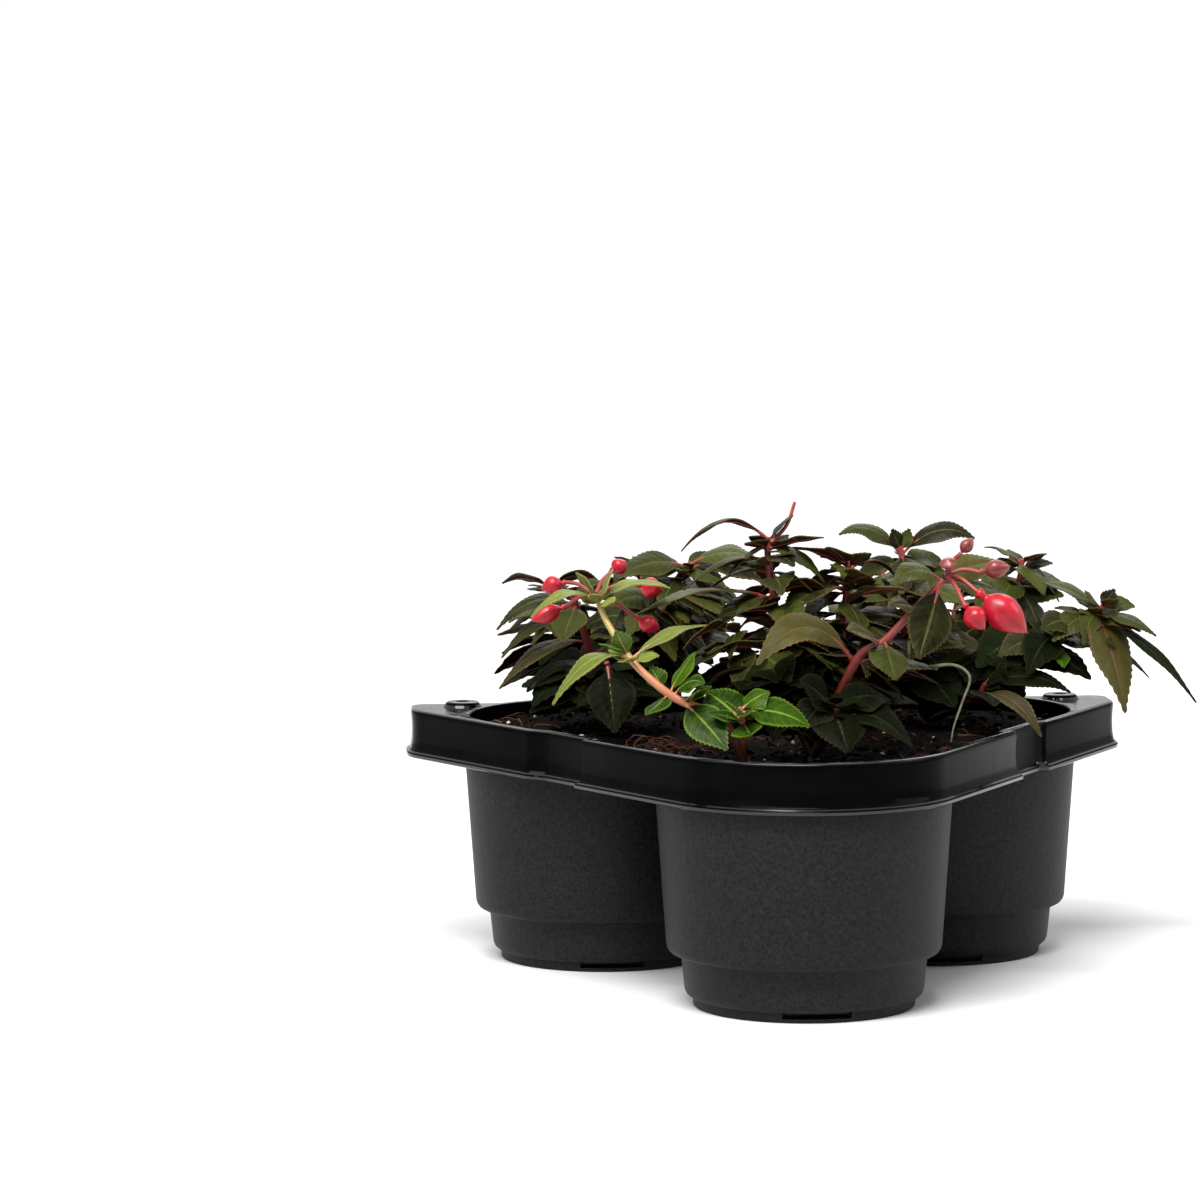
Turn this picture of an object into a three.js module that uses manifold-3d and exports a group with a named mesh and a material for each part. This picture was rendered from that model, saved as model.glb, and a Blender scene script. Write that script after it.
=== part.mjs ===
// Three young fuchsia plants in a black three-pot pack: three round tapered pots hang
// from one rounded triangular rim. Millimetres, +Z up, pot feet on z = 0.
import * as THREE from 'three';
import { mergeVertices } from 'three/addons/utils/BufferGeometryUtils.js';
import Module from 'manifold-3d';

// ---- driving dimensions of the pack ----
const PITCH = 125;               // distance between two pot axes
const RIM_Z = 91.5;              // top of the rim
const SKIRT_Z = 73.7;            // lower edge of the skirt
const RIM_R = 52.5;              // rim radius round each pot axis
const WEB_Z = 81.5;              // top of the web between the pots
const WALL = 1.6;
const LIP = 2.3;                 // width of the rim's top lip
const RECESS_DEPTH = 3;          // step-back in the middle of each side
const RECESS_FRONT = [68, 98];   // along a front side, from the front pot
const RECESS_BACK_HALF = 15;
const EAR_X = 133;               // flat ears that carry the eyelets
const EAR_Y = 73;
const EAR_CORNERS = [6, 5];      // how far the front and back corner are cut back
const EAR_INSET = 0.8;           // wall left round the hollow under an ear
const EAR_BOX = { wide: 40, deep: 90, y: 50 };
const EYELET = { x: 114.5, y: 62.5, low: 7.5, high: 6, hole: 2.6, rise: 2 };
const SLOT = { wide: 24, inner: 34.5, outer: 39.4, low: 1.4, high: 4.6 };
const CLEAR = 0.3;               // between pieces that touch
const SOIL_CLEAR = 0.5;          // between the soil and the pot walls
const SOIL_Z = 86;
const CROWN = { radius: 4, root: 74, top: 89 };
const POT_SIDES = 24;

const DEG = Math.PI / 180;
const FRONT = [0, -PITCH / Math.sqrt(3)];
const LEFT = [-PITCH / 2, PITCH / (2 * Math.sqrt(3))];
const RIGHT = [PITCH / 2, LEFT[1]];
const POTS = [FRONT, LEFT, RIGHT];

// skirt section: height and outward offset from the rim line
const SKIRT = [[SKIRT_Z, 2.9], [75.4, 2.9], [76.3, 1.6], [84, 0.8], [RIM_Z, 0.4]];
const UNDERSIDE = [[SKIRT_Z - 1, 1.3], [76.2, 0.1], [WEB_Z - WALL, -0.6]];
// pot section: radius and height, outside and inside
const POT_OUTSIDE = [[0, 2.2], [36.2, 2.2], [36.2, 0], [39, 0], [39.3, 3.4], [41.4, 4.2], [42.1, 6.4],
  [43.4, 18.4], [47.4, 19.3], [48.4, 21.8], [52.5, WEB_Z - 0.6], [0, WEB_Z - 0.6]];
const POT_INSIDE = [[0, 4], [39.2, 4], [40.4, 6.8], [41.8, 19.6], [45.6, 20.8], [46.8, 22.6],
  [RIM_R - LIP, WEB_Z], [RIM_R - LIP, WEB_Z + 1], [0, WEB_Z + 1]];
const SOIL_BALL = [[0, 4.3], [39.2, 4.3], [41.8, 19.8], [46.8, 22.9], [RIM_R - LIP, WEB_Z]];

// ---- the plants ----
// Each shoot: its stem as points in millimetres, and its leaves, each as
// [place along the stem 0-1, compass turn, reach, rise of the tip, arch, width, kind].
const SHOOTS = {
  front_plant: [
    { stem: [[4, -68, 87], [-3, -58, 109], [-7, -52, 134], [-10, -50, 155], [-10, -50, 163]],
      leaves: [
        [0.99, 180, 31, -4, 9, 14, 'dark'],
        [0.98, 25, 10, 9, 1, 12, 'dark'],
        [0.95, 350, 20, 4, 1, 12, 'dark'],
        [0.95, 235, 15, 3, 1, 9, 'dark'],
        [0.89, 195, 32, -9, 6, 16, 'dark'],
        [0.89, 300, 14, 4, 1, 9, 'dark'],
        [0.72, 185, 51, -5, 7, 16, 'dark'],
        [0.67, 235, 24, 2, 1, 13, 'dark'],
        [0.47, 200, 30, 2, 4, 17, 'dark'],
        [0.49, 330, 21, -1, 3, 17, 'dark'],
      ] },
    { stem: [[4, -68, 87], [17, -80, 121], [27, -84, 129], [38, -86, 141], [47, -86, 150]],
      leaves: [
        [0.47, 200, 38, 1, 13, 16, 'bronze'],
        [0.98, 230, 14, -25, -1, 17, 'dark'],
        [0.99, 210, 21, 0, 5, 12, 'dark'],
        [0.99, 5, 27, -7, 2, 15, 'dark'],
        [0.64, 275, 16, -12, 1, 16, 'dark'],
        [0.62, 220, 17, 6, 1, 12, 'pale'],
        [0.83, 215, 11, 2, 1, 10, 'pale'],
        [0.97, 30, 30, 6, 3, 14, 'bronze'],
        [0.48, 340, 29, -2, 2, 16, 'dark'],
      ] },
    { stem: [[4, -68, 87], [10, -90, 102], [7, -92, 108]],
      leaves: [
        [0.97, 280, 18, -14, 2, 20, 'dark'],
        [0.79, 340, 26, -9, 6, 17, 'bright'],
        [0.99, 220, 15, -8, 3, 15, 'dark'],
        [0.96, 205, 13, 10, 1, 17, 'dark'],
        [0.94, 20, 22, 2, 3, 17, 'dark'],
      ] },
    { stem: [[4, -68, 87], [15, -48, 119], [19, -42, 143], [20, -40, 154]],
      leaves: [
        [0.88, 285, 21, 5, 1, 13, 'dark'],
        [0.86, 225, 37, -7, 4, 18, 'dark'],
        [0.98, 235, 15, 7, 1, 12, 'dark'],
        [0.97, 190, 23, 7, 2, 11, 'bronze'],
        [0.80, 340, 26, 3, 4, 18, 'dark'],
        [0.70, 230, 34, -4, 3, 17, 'dark'],
        [0.61, 330, 23, 4, 3, 17, 'dark'],
      ] },
  ],
  pale_shoot: [
    { stem: [[-22, -87, 87], [-30, -88, 102], [-46, -86, 110], [-54, -84, 116], [-61, -80, 123],
        [-68, -72, 134], [-72, -66, 143]],
      leaves: [
        [0.99, 190, 24, -5, 6, 15, 'pale'],
        [0.99, 5, 26, 4, 4, 15, 'pale'],
        [0.98, 200, 8, 11, 1, 9, 'pale'],
        [0.98, 345, 5, 12, 0, 8, 'pale'],
        [0.68, 205, 31, -14, 8, 15, 'pale'],
        [0.70, 210, 12, 5, 1, 7, 'pale'],
        [0.68, 15, 28, 11, 3, 16, 'pale'],
        [0.70, 220, 6, 9, 0, 8, 'pale'],
        [0.44, 330, 12, 5, 3, 10, 'pale'],
        [0.46, 225, 12, -6, 0, 11, 'pale'],
        [0.46, 20, 10, 14, 1, 9, 'pale'],
        [0.49, 140, 5, 8, 0, 8, 'pale'],
        [0.39, 310, 21, -15, 1, 15, 'bright'],
      ] },
    { stem: [[-22, -87, 87], [-24, -97, 103], [-25, -98, 108]],
      leaves: [
        [0.91, 340, 24, -4, 3, 16, 'bright'],
        [0.96, 5, 10, 6, 1, 11, 'bright'],
        [0.94, 225, 7, 4, 0, 8, 'bright'],
        [0.78, 275, 14, -3, 0, 12, 'bright'],
        [0.77, 124, 20, 9, 1, 16, 'bright'],
      ] },
  ],
  left_plant: [
    { stem: [[-60, 36, 87], [-68, 24, 114], [-73, 14, 130], [-76, 8, 139]],
      leaves: [
        [0.88, 195, 31, -7, 7, 13, 'dark'],
        [0.77, 200, 32, -12, 7, 12, 'dark'],
        [0.60, 205, 37, -15, 7, 14, 'dark'],
        [0.48, 210, 27, -9, 3, 10, 'dark'],
        [0.90, 250, 18, -12, 1, 14, 'dark'],
        [0.98, 205, 10, 4, 1, 9, 'dark'],
        [0.98, 330, 11, 5, 1, 9, 'dark'],
        [0.50, 320, 22, 7, 2, 14, 'dark'],
      ] },
    { stem: [[-60, 36, 87], [-60, 8, 103], [-64, 0, 114]],
      leaves: [
        [0.97, 275, 16, -23, 1, 19, 'dark'],
        [0.70, 215, 18, -5, 2, 13, 'dark'],
        [0.58, 320, 19, 1, 3, 15, 'dark'],
      ] },
    { stem: [[-60, 36, 87], [-51, 30, 117], [-42, 12, 137], [-33, 0, 150]],
      leaves: [
        [0.97, 200, 28, -3, 4, 14, 'dark'],
        [0.98, 340, 26, 3, 4, 14, 'dark'],
        [0.95, 335, 40, -7, 6, 16, 'dark'],
        [0.75, 290, 21, -8, 2, 15, 'dark'],
        [0.72, 210, 22, -1, 3, 15, 'dark'],
        [0.44, 315, 25, -2, 3, 16, 'dark'],
        [0.79, 345, 25, -3, 3, 14, 'dark'],
      ] },
  ],
  right_plant: [
    { stem: [[60, 36, 87], [85, 26, 110], [105, 18, 119], [119, 14, 128], [122, 13, 132]],
      leaves: [
        [0.95, 340, 22, -8, 3, 12, 'dark'],
        [0.94, 295, 19, -35, 6, 19, 'dark'],
        [0.92, 340, 39, -31, 6, 10, 'dark'],
        [0.92, 210, 19, -8, 3, 12, 'dark'],
        [0.97, 160, 22, 10, 2, 12, 'dark'],
        [0.98, 305, 8, 4, 1, 8, 'dark'],
        [0.98, 10, 5, 7, 0, 7, 'dark'],
        [0.98, 210, 8, 7, 0, 8, 'dark'],
        [0.72, 210, 27, -5, 3, 15, 'dark'],
        [0.69, 280, 16, -8, 1, 12, 'bright'],
        [0.70, 10, 39, -15, 7, 18, 'dark'],
      ] },
    { stem: [[60, 36, 87], [49, 14, 120], [46, 7, 142], [45, 5, 155]],
      leaves: [
        [0.96, 190, 24, 8, 6, 14, 'dark'],
        [0.96, 350, 27, 6, 6, 14, 'dark'],
        [0.98, 210, 4, 8, 0, 7, 'dark'],
        [0.98, 0, 3, 8, 0, 7, 'dark'],
        [0.79, 315, 27, -4, 3, 15, 'dark'],
        [0.78, 215, 27, -3, 3, 16, 'dark'],
        [0.53, 315, 25, -2, 3, 16, 'dark'],
        [0.51, 220, 23, -4, 3, 16, 'dark'],
      ] },
    { stem: [[60, 36, 87], [82, 44, 120], [94, 41, 137], [96, 40, 147]],
      leaves: [
        [0.98, 325, 10, 4, 1, 11, 'dark'],
        [0.97, 290, 17, -10, 2, 14, 'dark'],
        [0.98, 165, 14, 6, 2, 12, 'dark'],
        [0.86, 290, 20, -19, 3, 16, 'dark'],
        [0.81, 220, 21, -3, 2, 14, 'dark'],
        [0.60, 330, 20, -9, 3, 15, 'dark'],
        [0.57, 230, 24, -6, 3, 15, 'dark'],
      ] },
    { stem: [[60, 36, 87], [73, 8, 98], [76, 3, 104]],
      leaves: [
        [0.97, 350, 32, -2, 5, 14, 'bright'],
        [0.89, 270, 32, -1, 2, 13, 'bright'],
        [0.80, 290, 49, -9, 7, 11, 'bronze'],
        [0.96, 345, 8, 11, 1, 12, 'dark'],
      ] },
  ],
};

// The rest of the shoots grow by a rule: [turn, reach, height, leaf pairs].
const RULE_SHOOTS = {
  front_plant: [[88, 22, 46, 3], [150, 30, 44, 3], [35, 28, 36, 3]],
  left_plant: [[128, 34, 50, 3], [60, 30, 58, 3], [-18, 30, 46, 4], [235, 26, 24, 2]],
  right_plant: [[60, 32, 46, 3], [122, 30, 58, 3], [195, 30, 42, 3]],
};
const CROWNS = {
  front_plant: [4, -68],
  pale_shoot: [-22, -87],
  left_plant: [-60, 36],
  right_plant: [60, 36],
};
const HOME = { front_plant: FRONT, pale_shoot: FRONT, left_plant: LEFT, right_plant: RIGHT };
const DRY_STEM = [[40, -88.5, 120], [50, -92, 121], [55, -95, 117], [52, -98, 109], [49, -99, 101],
  [48, -98, 95]];
const BARE_STALK = [[-9, -50, 161], [-3, -47, 167], [0, -46, 175]];
const STEM_R = { root: 2, tip: 1.2 };
const SMALL_LEAF = 17;           // shorter leaves are left untoothed
const BLADE = 1.2;               // thickness of a blade along its midrib
const LEAF_SEED = 4423;

// Bud clusters: the knot they hang from, and each bud as [base, tip, radius].
const BUDS = {
  flower_buds: {
    knot: [47.8, -87.6, 151.6],
    buds: [
      [[57, -96, 147], [75, -97, 132], 6.3],
      [[52, -101, 143], [59, -103, 134], 4.2],
      [[52, -90, 159], [57, -90, 165], 2.4],
      [[48, -93, 155], [47, -95, 158], 3],
      [[59, -90, 153], [70, -91, 155], 3.4],
    ],
  },
  pale_shoot_buds: {
    knot: [-72.4, -63.9, 144],
    buds: [
      [[-82, -54, 148], [-91, -56, 146], 2.9],
      [[-82, -57, 140], [-95, -60, 135], 2.6],
      [[-66, -51, 151], [-60, -48, 155], 2.4],
      [[-57, -52, 147], [-47, -50, 144], 3.1],
      [[-58, -58, 136], [-49, -58, 131], 2.6],
    ],
  },
};
const BUD_SECTION = [[0, 0.3], [0.16, 0.62], [0.42, 1], [0.7, 0.8], [1, 0.12]];
const BUD_SIDES = 6;

const COLOURS = {
  pack: 0x1b1b1c, soil: 0x231a15, dark: 0x35482f, pale: 0xa6bf55, bud: 0xc2283f,
};

// ---- small vector helpers ----
const add = (a, b, k = 1) => [a[0] + b[0] * k, a[1] + b[1] * k, a[2] + b[2] * k];
const cross = (a, b) => [a[1] * b[2] - a[2] * b[1], a[2] * b[0] - a[0] * b[2], a[0] * b[1] - a[1] * b[0]];
const unit = (a) => {
  const l = Math.hypot(...a);
  return a.map((v) => v / l);
};

// Seeded draws between two limits, the same every time.
function sower(start) {
  let seed = start;
  return (low, high) => {
    seed = (seed * 16807) % 2147483647;
    return low + (high - low) * (seed / 2147483647);
  };
}
const crumbDraw = sower(20731);
const leafDraw = sower(LEAF_SEED);

// ---- solids ----
const wasm = await Module();
wasm.setup();

function solid(geometry) {
  const bare = geometry.index ? geometry.toNonIndexed() : geometry.clone();
  bare.deleteAttribute('normal');
  bare.deleteAttribute('uv');
  const merged = mergeVertices(bare, 1e-4);
  const vertProperties = new Float32Array(merged.attributes.position.array);
  const triVerts = new Uint32Array(merged.index.array);
  return new wasm.Manifold(new wasm.Mesh({ numProp: 3, vertProperties, triVerts }));
}

function geometryOf(body) {
  const mesh = body.getMesh();
  const geometry = new THREE.BufferGeometry();
  const places = new Float32Array(mesh.numVert * 3);
  for (let i = 0; i < mesh.numVert; i++) {
    for (let k = 0; k < 3; k++) {
      places[3 * i + k] = mesh.vertProperties[i * mesh.numProp + k];
    }
  }
  geometry.setAttribute('position', new THREE.BufferAttribute(places, 3));
  geometry.setIndex(Array.from(mesh.triVerts));
  geometry.computeVertexNormals();
  return geometry;
}

// A closed skin over rings that all have the same number of points.
function skin(rings) {
  const n = rings[0].length;
  const points = rings.flat();
  const faces = [];
  for (let i = 0; i + 1 < rings.length; i++) {
    for (let k = 0; k < n; k++) {
      const a = i * n + k;
      const b = i * n + (k + 1) % n;
      faces.push(a, b, b + n, a, b + n, a + n);
    }
  }
  const last = (rings.length - 1) * n;
  const contour = rings[0].map((p) => new THREE.Vector2(p[0], p[1]));
  const flat = n > 8 ? THREE.ShapeUtils.triangulateShape(contour, []) : fan(n);
  for (const [a, b, c] of flat) {
    faces.push(c, b, a, last + a, last + b, last + c);
  }
  const geometry = new THREE.BufferGeometry();
  geometry.setAttribute('position', new THREE.Float32BufferAttribute(points.flat(), 3));
  geometry.setIndex(faces);
  return solid(geometry);
}

function fan(n) {
  return Array.from({ length: n - 2 }, (_, i) => [0, i + 1, i + 2]);
}

function turned(profile, x, y) {
  const geometry = new THREE.LatheGeometry(profile.map((p) => new THREE.Vector2(p[0], p[1])), POT_SIDES);
  geometry.rotateX(Math.PI / 2);
  geometry.translate(x, y, 0);
  return solid(geometry);
}

function rod(x, y, low, high, radius, sides) {
  const geometry = new THREE.CylinderGeometry(radius, radius, high - low, sides);
  geometry.rotateX(Math.PI / 2);
  geometry.translate(x, y, (low + high) / 2);
  return solid(geometry);
}

function joined(bodies) {
  return bodies.reduce((sum, body) => sum.add(body));
}

// ---- the pack ----
// Half of the pack's outline, from the front point to the middle of the back.
function halfOutline(offset, ears) {
  const r = RIM_R + offset;
  const side = [Math.sin(30 * DEG), Math.cos(30 * DEG)];
  const out = [Math.cos(30 * DEG), -Math.sin(30 * DEG)];
  const points = [];
  const arc = (pot, from, to, steps) => {
    for (let i = 0; i <= steps; i++) {
      const a = (from + (to - from) * i / steps) * DEG;
      points.push([pot[0] + r * Math.cos(a), pot[1] + r * Math.sin(a)]);
    }
  };
  const onSide = (along, reach) => points.push([
    FRONT[0] + side[0] * along + out[0] * reach,
    FRONT[1] + side[1] * along + out[1] * reach,
  ]);
  const corner = (at, before, after, cut) => {
    for (const t of [0, 0.33, 0.67, 1]) {
      const k0 = (1 - t) * (1 - t) * cut;
      const k1 = t * t * cut;
      points.push([at[0] - before[0] * k0 + after[0] * k1, at[1] - before[1] * k0 + after[1] * k1]);
    }
  };
  arc(FRONT, 270, 330, 7);
  onSide(RECESS_FRONT[0] + offset, r);
  onSide(RECESS_FRONT[0] + offset, r - RECESS_DEPTH);
  onSide(RECESS_FRONT[1] - offset, r - RECESS_DEPTH);
  onSide(RECESS_FRONT[1] - offset, r);
  if (ears) {
    const x = EAR_X + offset;
    const start = [RIGHT[0] + r * out[0], RIGHT[1] + r * out[1]];
    const along = (x - start[0]) / side[0];
    corner([x, start[1] + along * side[1]], side, [0, 1], EAR_CORNERS[0]);
    corner([x, EAR_Y + offset], [0, 1], [-1, 0], EAR_CORNERS[1]);
    arc(RIGHT, Math.asin((EAR_Y + offset - RIGHT[1]) / r) / DEG, 90, 5);
  } else {
    arc(RIGHT, 330, 450, 12);
  }
  points.push([RECESS_BACK_HALF - offset, RIGHT[1] + r]);
  points.push([RECESS_BACK_HALF - offset, RIGHT[1] + r - RECESS_DEPTH]);
  return points;
}

function outline(offset, ears, z) {
  const half = halfOutline(offset, ears);
  const mirror = half.slice(1).reverse().map((p) => [-p[0], p[1]]);
  return [...half, ...mirror].map((p) => [p[0], p[1], z]);
}

function outlineSolid(levels, ears) {
  return skin(levels.map(([z, offset]) => outline(offset, ears, z)));
}

function drainageSlot(pot, degrees) {
  const geometry = new THREE.BoxGeometry(SLOT.outer - SLOT.inner, SLOT.wide, SLOT.high - SLOT.low);
  geometry.translate((SLOT.inner + SLOT.outer) / 2, 0, (SLOT.low + SLOT.high) / 2);
  geometry.rotateZ(degrees * DEG);
  geometry.translate(pot[0], pot[1], 0);
  return solid(geometry);
}

function makePack() {
  let body = outlineSolid(SKIRT, true).subtract(outlineSolid(UNDERSIDE, true));
  const earHollow = outlineSolid([[WEB_Z - 2 * WALL, -EAR_INSET], [RIM_Z - WALL, -EAR_INSET]], true);
  for (const s of [-1, 1]) {
    const box = new THREE.BoxGeometry(EAR_BOX.wide, EAR_BOX.deep, EAR_BOX.wide);
    box.translate(s * (EAR_X - 0.3 * EAR_BOX.wide), EAR_BOX.y, WEB_Z);
    const keep = rod(s * RIGHT[0], RIGHT[1], SKIRT_Z - 4, RIM_Z + 4, RIM_R, 2 * POT_SIDES);
    body = body.subtract(earHollow.intersect(solid(box)).subtract(keep));
    const boss = new THREE.CylinderGeometry(EYELET.high, EYELET.low, WALL + EYELET.rise, 12);
    boss.rotateX(Math.PI / 2);
    boss.translate(s * EYELET.x, EYELET.y, RIM_Z + (EYELET.rise - WALL) / 2);
    body = body.add(solid(boss)).subtract(rod(s * EYELET.x, EYELET.y, WEB_Z, 100, EYELET.hole, 10));
  }
  body = body.add(joined(POTS.map((p) => turned(POT_OUTSIDE, ...p))));
  body = body.subtract(outlineSolid([[WEB_Z, -LIP], [RIM_Z + 1, -LIP]], false));
  for (const pot of POTS) {
    body = body.subtract(turned(POT_INSIDE, ...pot));
    for (const degrees of [30, 150, 270]) {
      body = body.subtract(drainageSlot(pot, degrees));
    }
  }
  return body;
}

// ---- the soil ----
function makeSoil() {
  const inset = (p) => [Math.max(p[0] - SOIL_CLEAR, 0), p[1]];
  const ball = SOIL_BALL.map(inset);
  const top = WEB_Z + 2;
  ball.push([ball[ball.length - 1][0], top], [0, top]);
  let body = joined(POTS.map((p) => turned(ball, ...p)));
  body = body.add(outlineSolid([[WEB_Z + CLEAR, -LIP - SOIL_CLEAR], [SOIL_Z, -LIP - 2]], false));
  for (const pot of POTS) {
    for (let i = 0; i < 3; i++) {
      const a = crumbDraw(0, 360) * DEG;
      const d = crumbDraw(8, 43);
      const size = crumbDraw(1.5, 3.2);
      const crumb = new THREE.IcosahedronGeometry(size, 0);
      crumb.scale(crumbDraw(0.8, 1.4), crumbDraw(0.8, 1.4), 0.6);
      crumb.rotateZ(crumbDraw(0, 6));
      crumb.translate(pot[0] + d * Math.cos(a), pot[1] + d * Math.sin(a), SOIL_Z);
      body = body.add(solid(crumb));
    }
  }
  for (const at of Object.values(CROWNS)) {
    body = body.subtract(rod(at[0], at[1], CROWN.root - CLEAR, 100, CROWN.radius + CLEAR, 8));
  }
  return body;
}

// ---- stems and leaves ----
function along(points, t) {
  const lengths = points.slice(1).map((p, i) => Math.hypot(...add(p, points[i], -1)));
  let left = t * lengths.reduce((a, b) => a + b, 0);
  for (let i = 0; i < lengths.length; i++) {
    if (left <= lengths[i] || i === lengths.length - 1) {
      return add(points[i], add(points[i + 1], points[i], -1), left / lengths[i]);
    }
    left -= lengths[i];
  }
  return points[points.length - 1];
}

function tube(points, rootR, tipR, sides = 4) {
  const n = points.length;
  const rings = points.map((p, i) => {
    const ahead = points[Math.min(i + 1, n - 1)];
    const behind = points[Math.max(i - 1, 0)];
    const t = unit(add(ahead, behind, -1));
    const u = unit(cross(Math.abs(t[0]) > 0.8 ? [0, 1, 0] : [1, 0, 0], t));
    const v = cross(t, u);
    const r = rootR + (tipR - rootR) * i / (n - 1);
    return Array.from({ length: sides }, (_, k) => {
      const a = 2 * Math.PI * k / sides;
      return add(add(p, u, r * Math.cos(a)), v, r * Math.sin(a));
    });
  });
  return skin(rings);
}

const TOOTHED = [0, 0.15, 0.4, 0.47, 0.73, 1];
const PLAIN = [0, 0.2, 0.5, 1];

function halfWidth(s, wide) {
  const u = Math.max((s - 0.1) / 0.9, 0);
  return Math.max(wide / 2 * Math.sin(Math.PI * Math.pow(u, 0.75)), 0.9 - 0.5 * s);
}

// A leaf's midrib is a bow from its foot to its tip; its face looks up and outward.
function leafFrame(base, turn, reach, rise, arch, home, s) {
  const a = turn * DEG;
  const tip = add(base, [reach * Math.cos(a), reach * Math.sin(a), rise]);
  const mid = add(add(base, add(tip, base, -1), 0.5), [0, 0, 2 * arch]);
  const at = add(add(add([0, 0, 0], base, (1 - s) * (1 - s)), mid, 2 * s * (1 - s)), tip, s * s);
  const t = unit(add(add(mid, base, -1), add(add(base, mid, -2), tip), s));
  const away = unit([mid[0] - home[0], mid[1] - home[1], 0.01]);
  const side = unit(cross(add([0, 0, 1], away, 0.5), t));
  return { at, side, face: cross(t, side) };
}

function leafSolid(base, leaf, home, toothed) {
  const [, turn, reach, rise, arch, wide] = leaf;
  const places = toothed ? TOOTHED : PLAIN;
  const rings = places.map((s, i) => {
    const { at, side, face } = leafFrame(base, turn, reach, rise, arch, home, s);
    const tooth = toothed && i > 1 && i < places.length - 1 ? (i % 2 ? 0.9 : 1.1) : 1;
    const w = halfWidth(s, wide) * tooth;
    const crown = add(at, face, i ? 0.3 : 0.6);
    return [add(crown, side, w), add(crown, side, -w), add(crown, face, i ? -BLADE : -1.5)];
  });
  return skin(rings);
}

// True where every part of the leaf stays 2 mm inside its own plant's share of the pack.
function staysHome(base, leaf, home) {
  const [, turn, reach, rise, arch, wide] = leaf;
  for (const s of [0.3, 0.6, 1]) {
    const { at, side } = leafFrame(base, turn, reach, rise, arch, home, s);
    for (const k of [-1, 1]) {
      const p = add(at, side, k * halfWidth(s, wide));
      const own = Math.hypot(p[0] - home[0], p[1] - home[1]);
      for (const pot of POTS) {
        if (pot !== home && Math.hypot(p[0] - pot[0], p[1] - pot[1]) < own + 4) {
          return false;
        }
      }
    }
  }
  return true;
}

function ruleShoot(name, [turn, reach, height, pairs]) {
  const [x, y] = CROWNS[name];
  const a = turn * DEG;
  const foot = CROWN.top - 2;
  const step = (k, h) => [x + reach * k * Math.cos(a), y + reach * k * Math.sin(a), foot + height * h];
  const stem = [step(0, 0), step(0.35, 0.4), step(0.75, 0.75), step(1, 1)];
  const leaves = [];
  for (let i = 0; i < pairs; i++) {
    const place = 0.98 - 0.62 * (pairs - 1 - i) / pairs;
    const grown = i === pairs - 1 ? 0.7 : 1;
    for (const s of [0, 180]) {
      const compass = turn + 90 * i + s + leafDraw(-20, 20) + 45;
      const bend = [leafDraw(22, 30) * grown, leafDraw(-10, 2), leafDraw(3, 6), leafDraw(13, 18) * grown];
      const leaf = [place, compass, ...bend, 'dark'];
      let tries = 0;
      while (tries < 6 && !staysHome(along(stem, place), leaf, HOME[name])) {
        leaf[1] += 50;
        tries += 1;
      }
      if (tries < 6) {
        leaves.push(leaf);
      }
    }
  }
  return { stem, leaves, byRule: true };
}

function makePlant(name) {
  const [x, y] = CROWNS[name];
  const bodies = [rod(x, y, CROWN.root, CROWN.top, CROWN.radius, 8)];
  const ruled = (RULE_SHOOTS[name] || []).map((rule) => ruleShoot(name, rule));
  for (const shoot of [...SHOOTS[name], ...ruled]) {
    bodies.push(tube(shoot.stem, STEM_R.root, STEM_R.tip));
    for (const leaf of shoot.leaves) {
      const toothed = !shoot.byRule && leaf[2] > SMALL_LEAF;
      bodies.push(leafSolid(along(shoot.stem, leaf[0]), leaf, HOME[name], toothed));
    }
  }
  if (name === 'front_plant') {
    bodies.push(tube(DRY_STEM, 0.9, 0.5));
    bodies.push(tube(BARE_STALK, 0.9, 0.7));
  }
  return joined(bodies);
}

// ---- buds ----
function bud(base, tip, radius) {
  const span = add(tip, base, -1);
  const t = unit(span);
  const u = unit(cross([0, 0, 1], t));
  const v = cross(t, u);
  return skin(BUD_SECTION.map(([s, k]) => Array.from({ length: BUD_SIDES }, (_, i) => {
    const a = 2 * Math.PI * i / BUD_SIDES;
    const p = add(base, span, s);
    return add(add(p, u, k * radius * Math.cos(a)), v, k * radius * Math.sin(a));
  })));
}

function makeBuds({ knot, buds }) {
  const ball = new THREE.IcosahedronGeometry(1.5, 0);
  ball.translate(...knot);
  const bodies = [solid(ball)];
  for (const [base, tip, radius] of buds) {
    const middle = add(add(knot, add(base, knot, -1), 0.5), [0, 0, 1.5]);
    const into = add(base, add(tip, base, -1), 0.2);
    bodies.push(tube([knot, middle, into], 0.8, 0.8));
    bodies.push(bud(base, tip, radius));
  }
  return joined(bodies);
}

// ---- the group ----
const pack = new THREE.Group();

function place(name, body, colour, roughness) {
  const material = new THREE.MeshStandardMaterial({ color: colour, roughness, metalness: 0 });
  const mesh = new THREE.Mesh(geometryOf(body), material);
  mesh.name = name;
  pack.add(mesh);
}

place('three_pot_tray', makePack(), COLOURS.pack, 0.45);
place('soil', makeSoil(), COLOURS.soil, 0.95);
for (const name of Object.keys(SHOOTS)) {
  place(name, makePlant(name), name === 'pale_shoot' ? COLOURS.pale : COLOURS.dark, 0.5);
}
for (const [name, cluster] of Object.entries(BUDS)) {
  place(name, makeBuds(cluster), COLOURS.bud, 0.35);
}

// The origin is the middle of the model's footprint.
const middle = new THREE.Box3().setFromObject(pack).getCenter(new THREE.Vector3());
pack.position.set(-middle.x, -middle.y, 0);

export default pack;
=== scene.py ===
"""Three young fuchsias in a black three-pot tray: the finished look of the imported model.

The tray is one black polypropylene moulding with a glossy rim and satin pots. Every leaf is one
blade modelled once, then bent along its own bow. Sizes are millimetres until at() makes metres.
"""

import math
from collections import namedtuple

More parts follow.
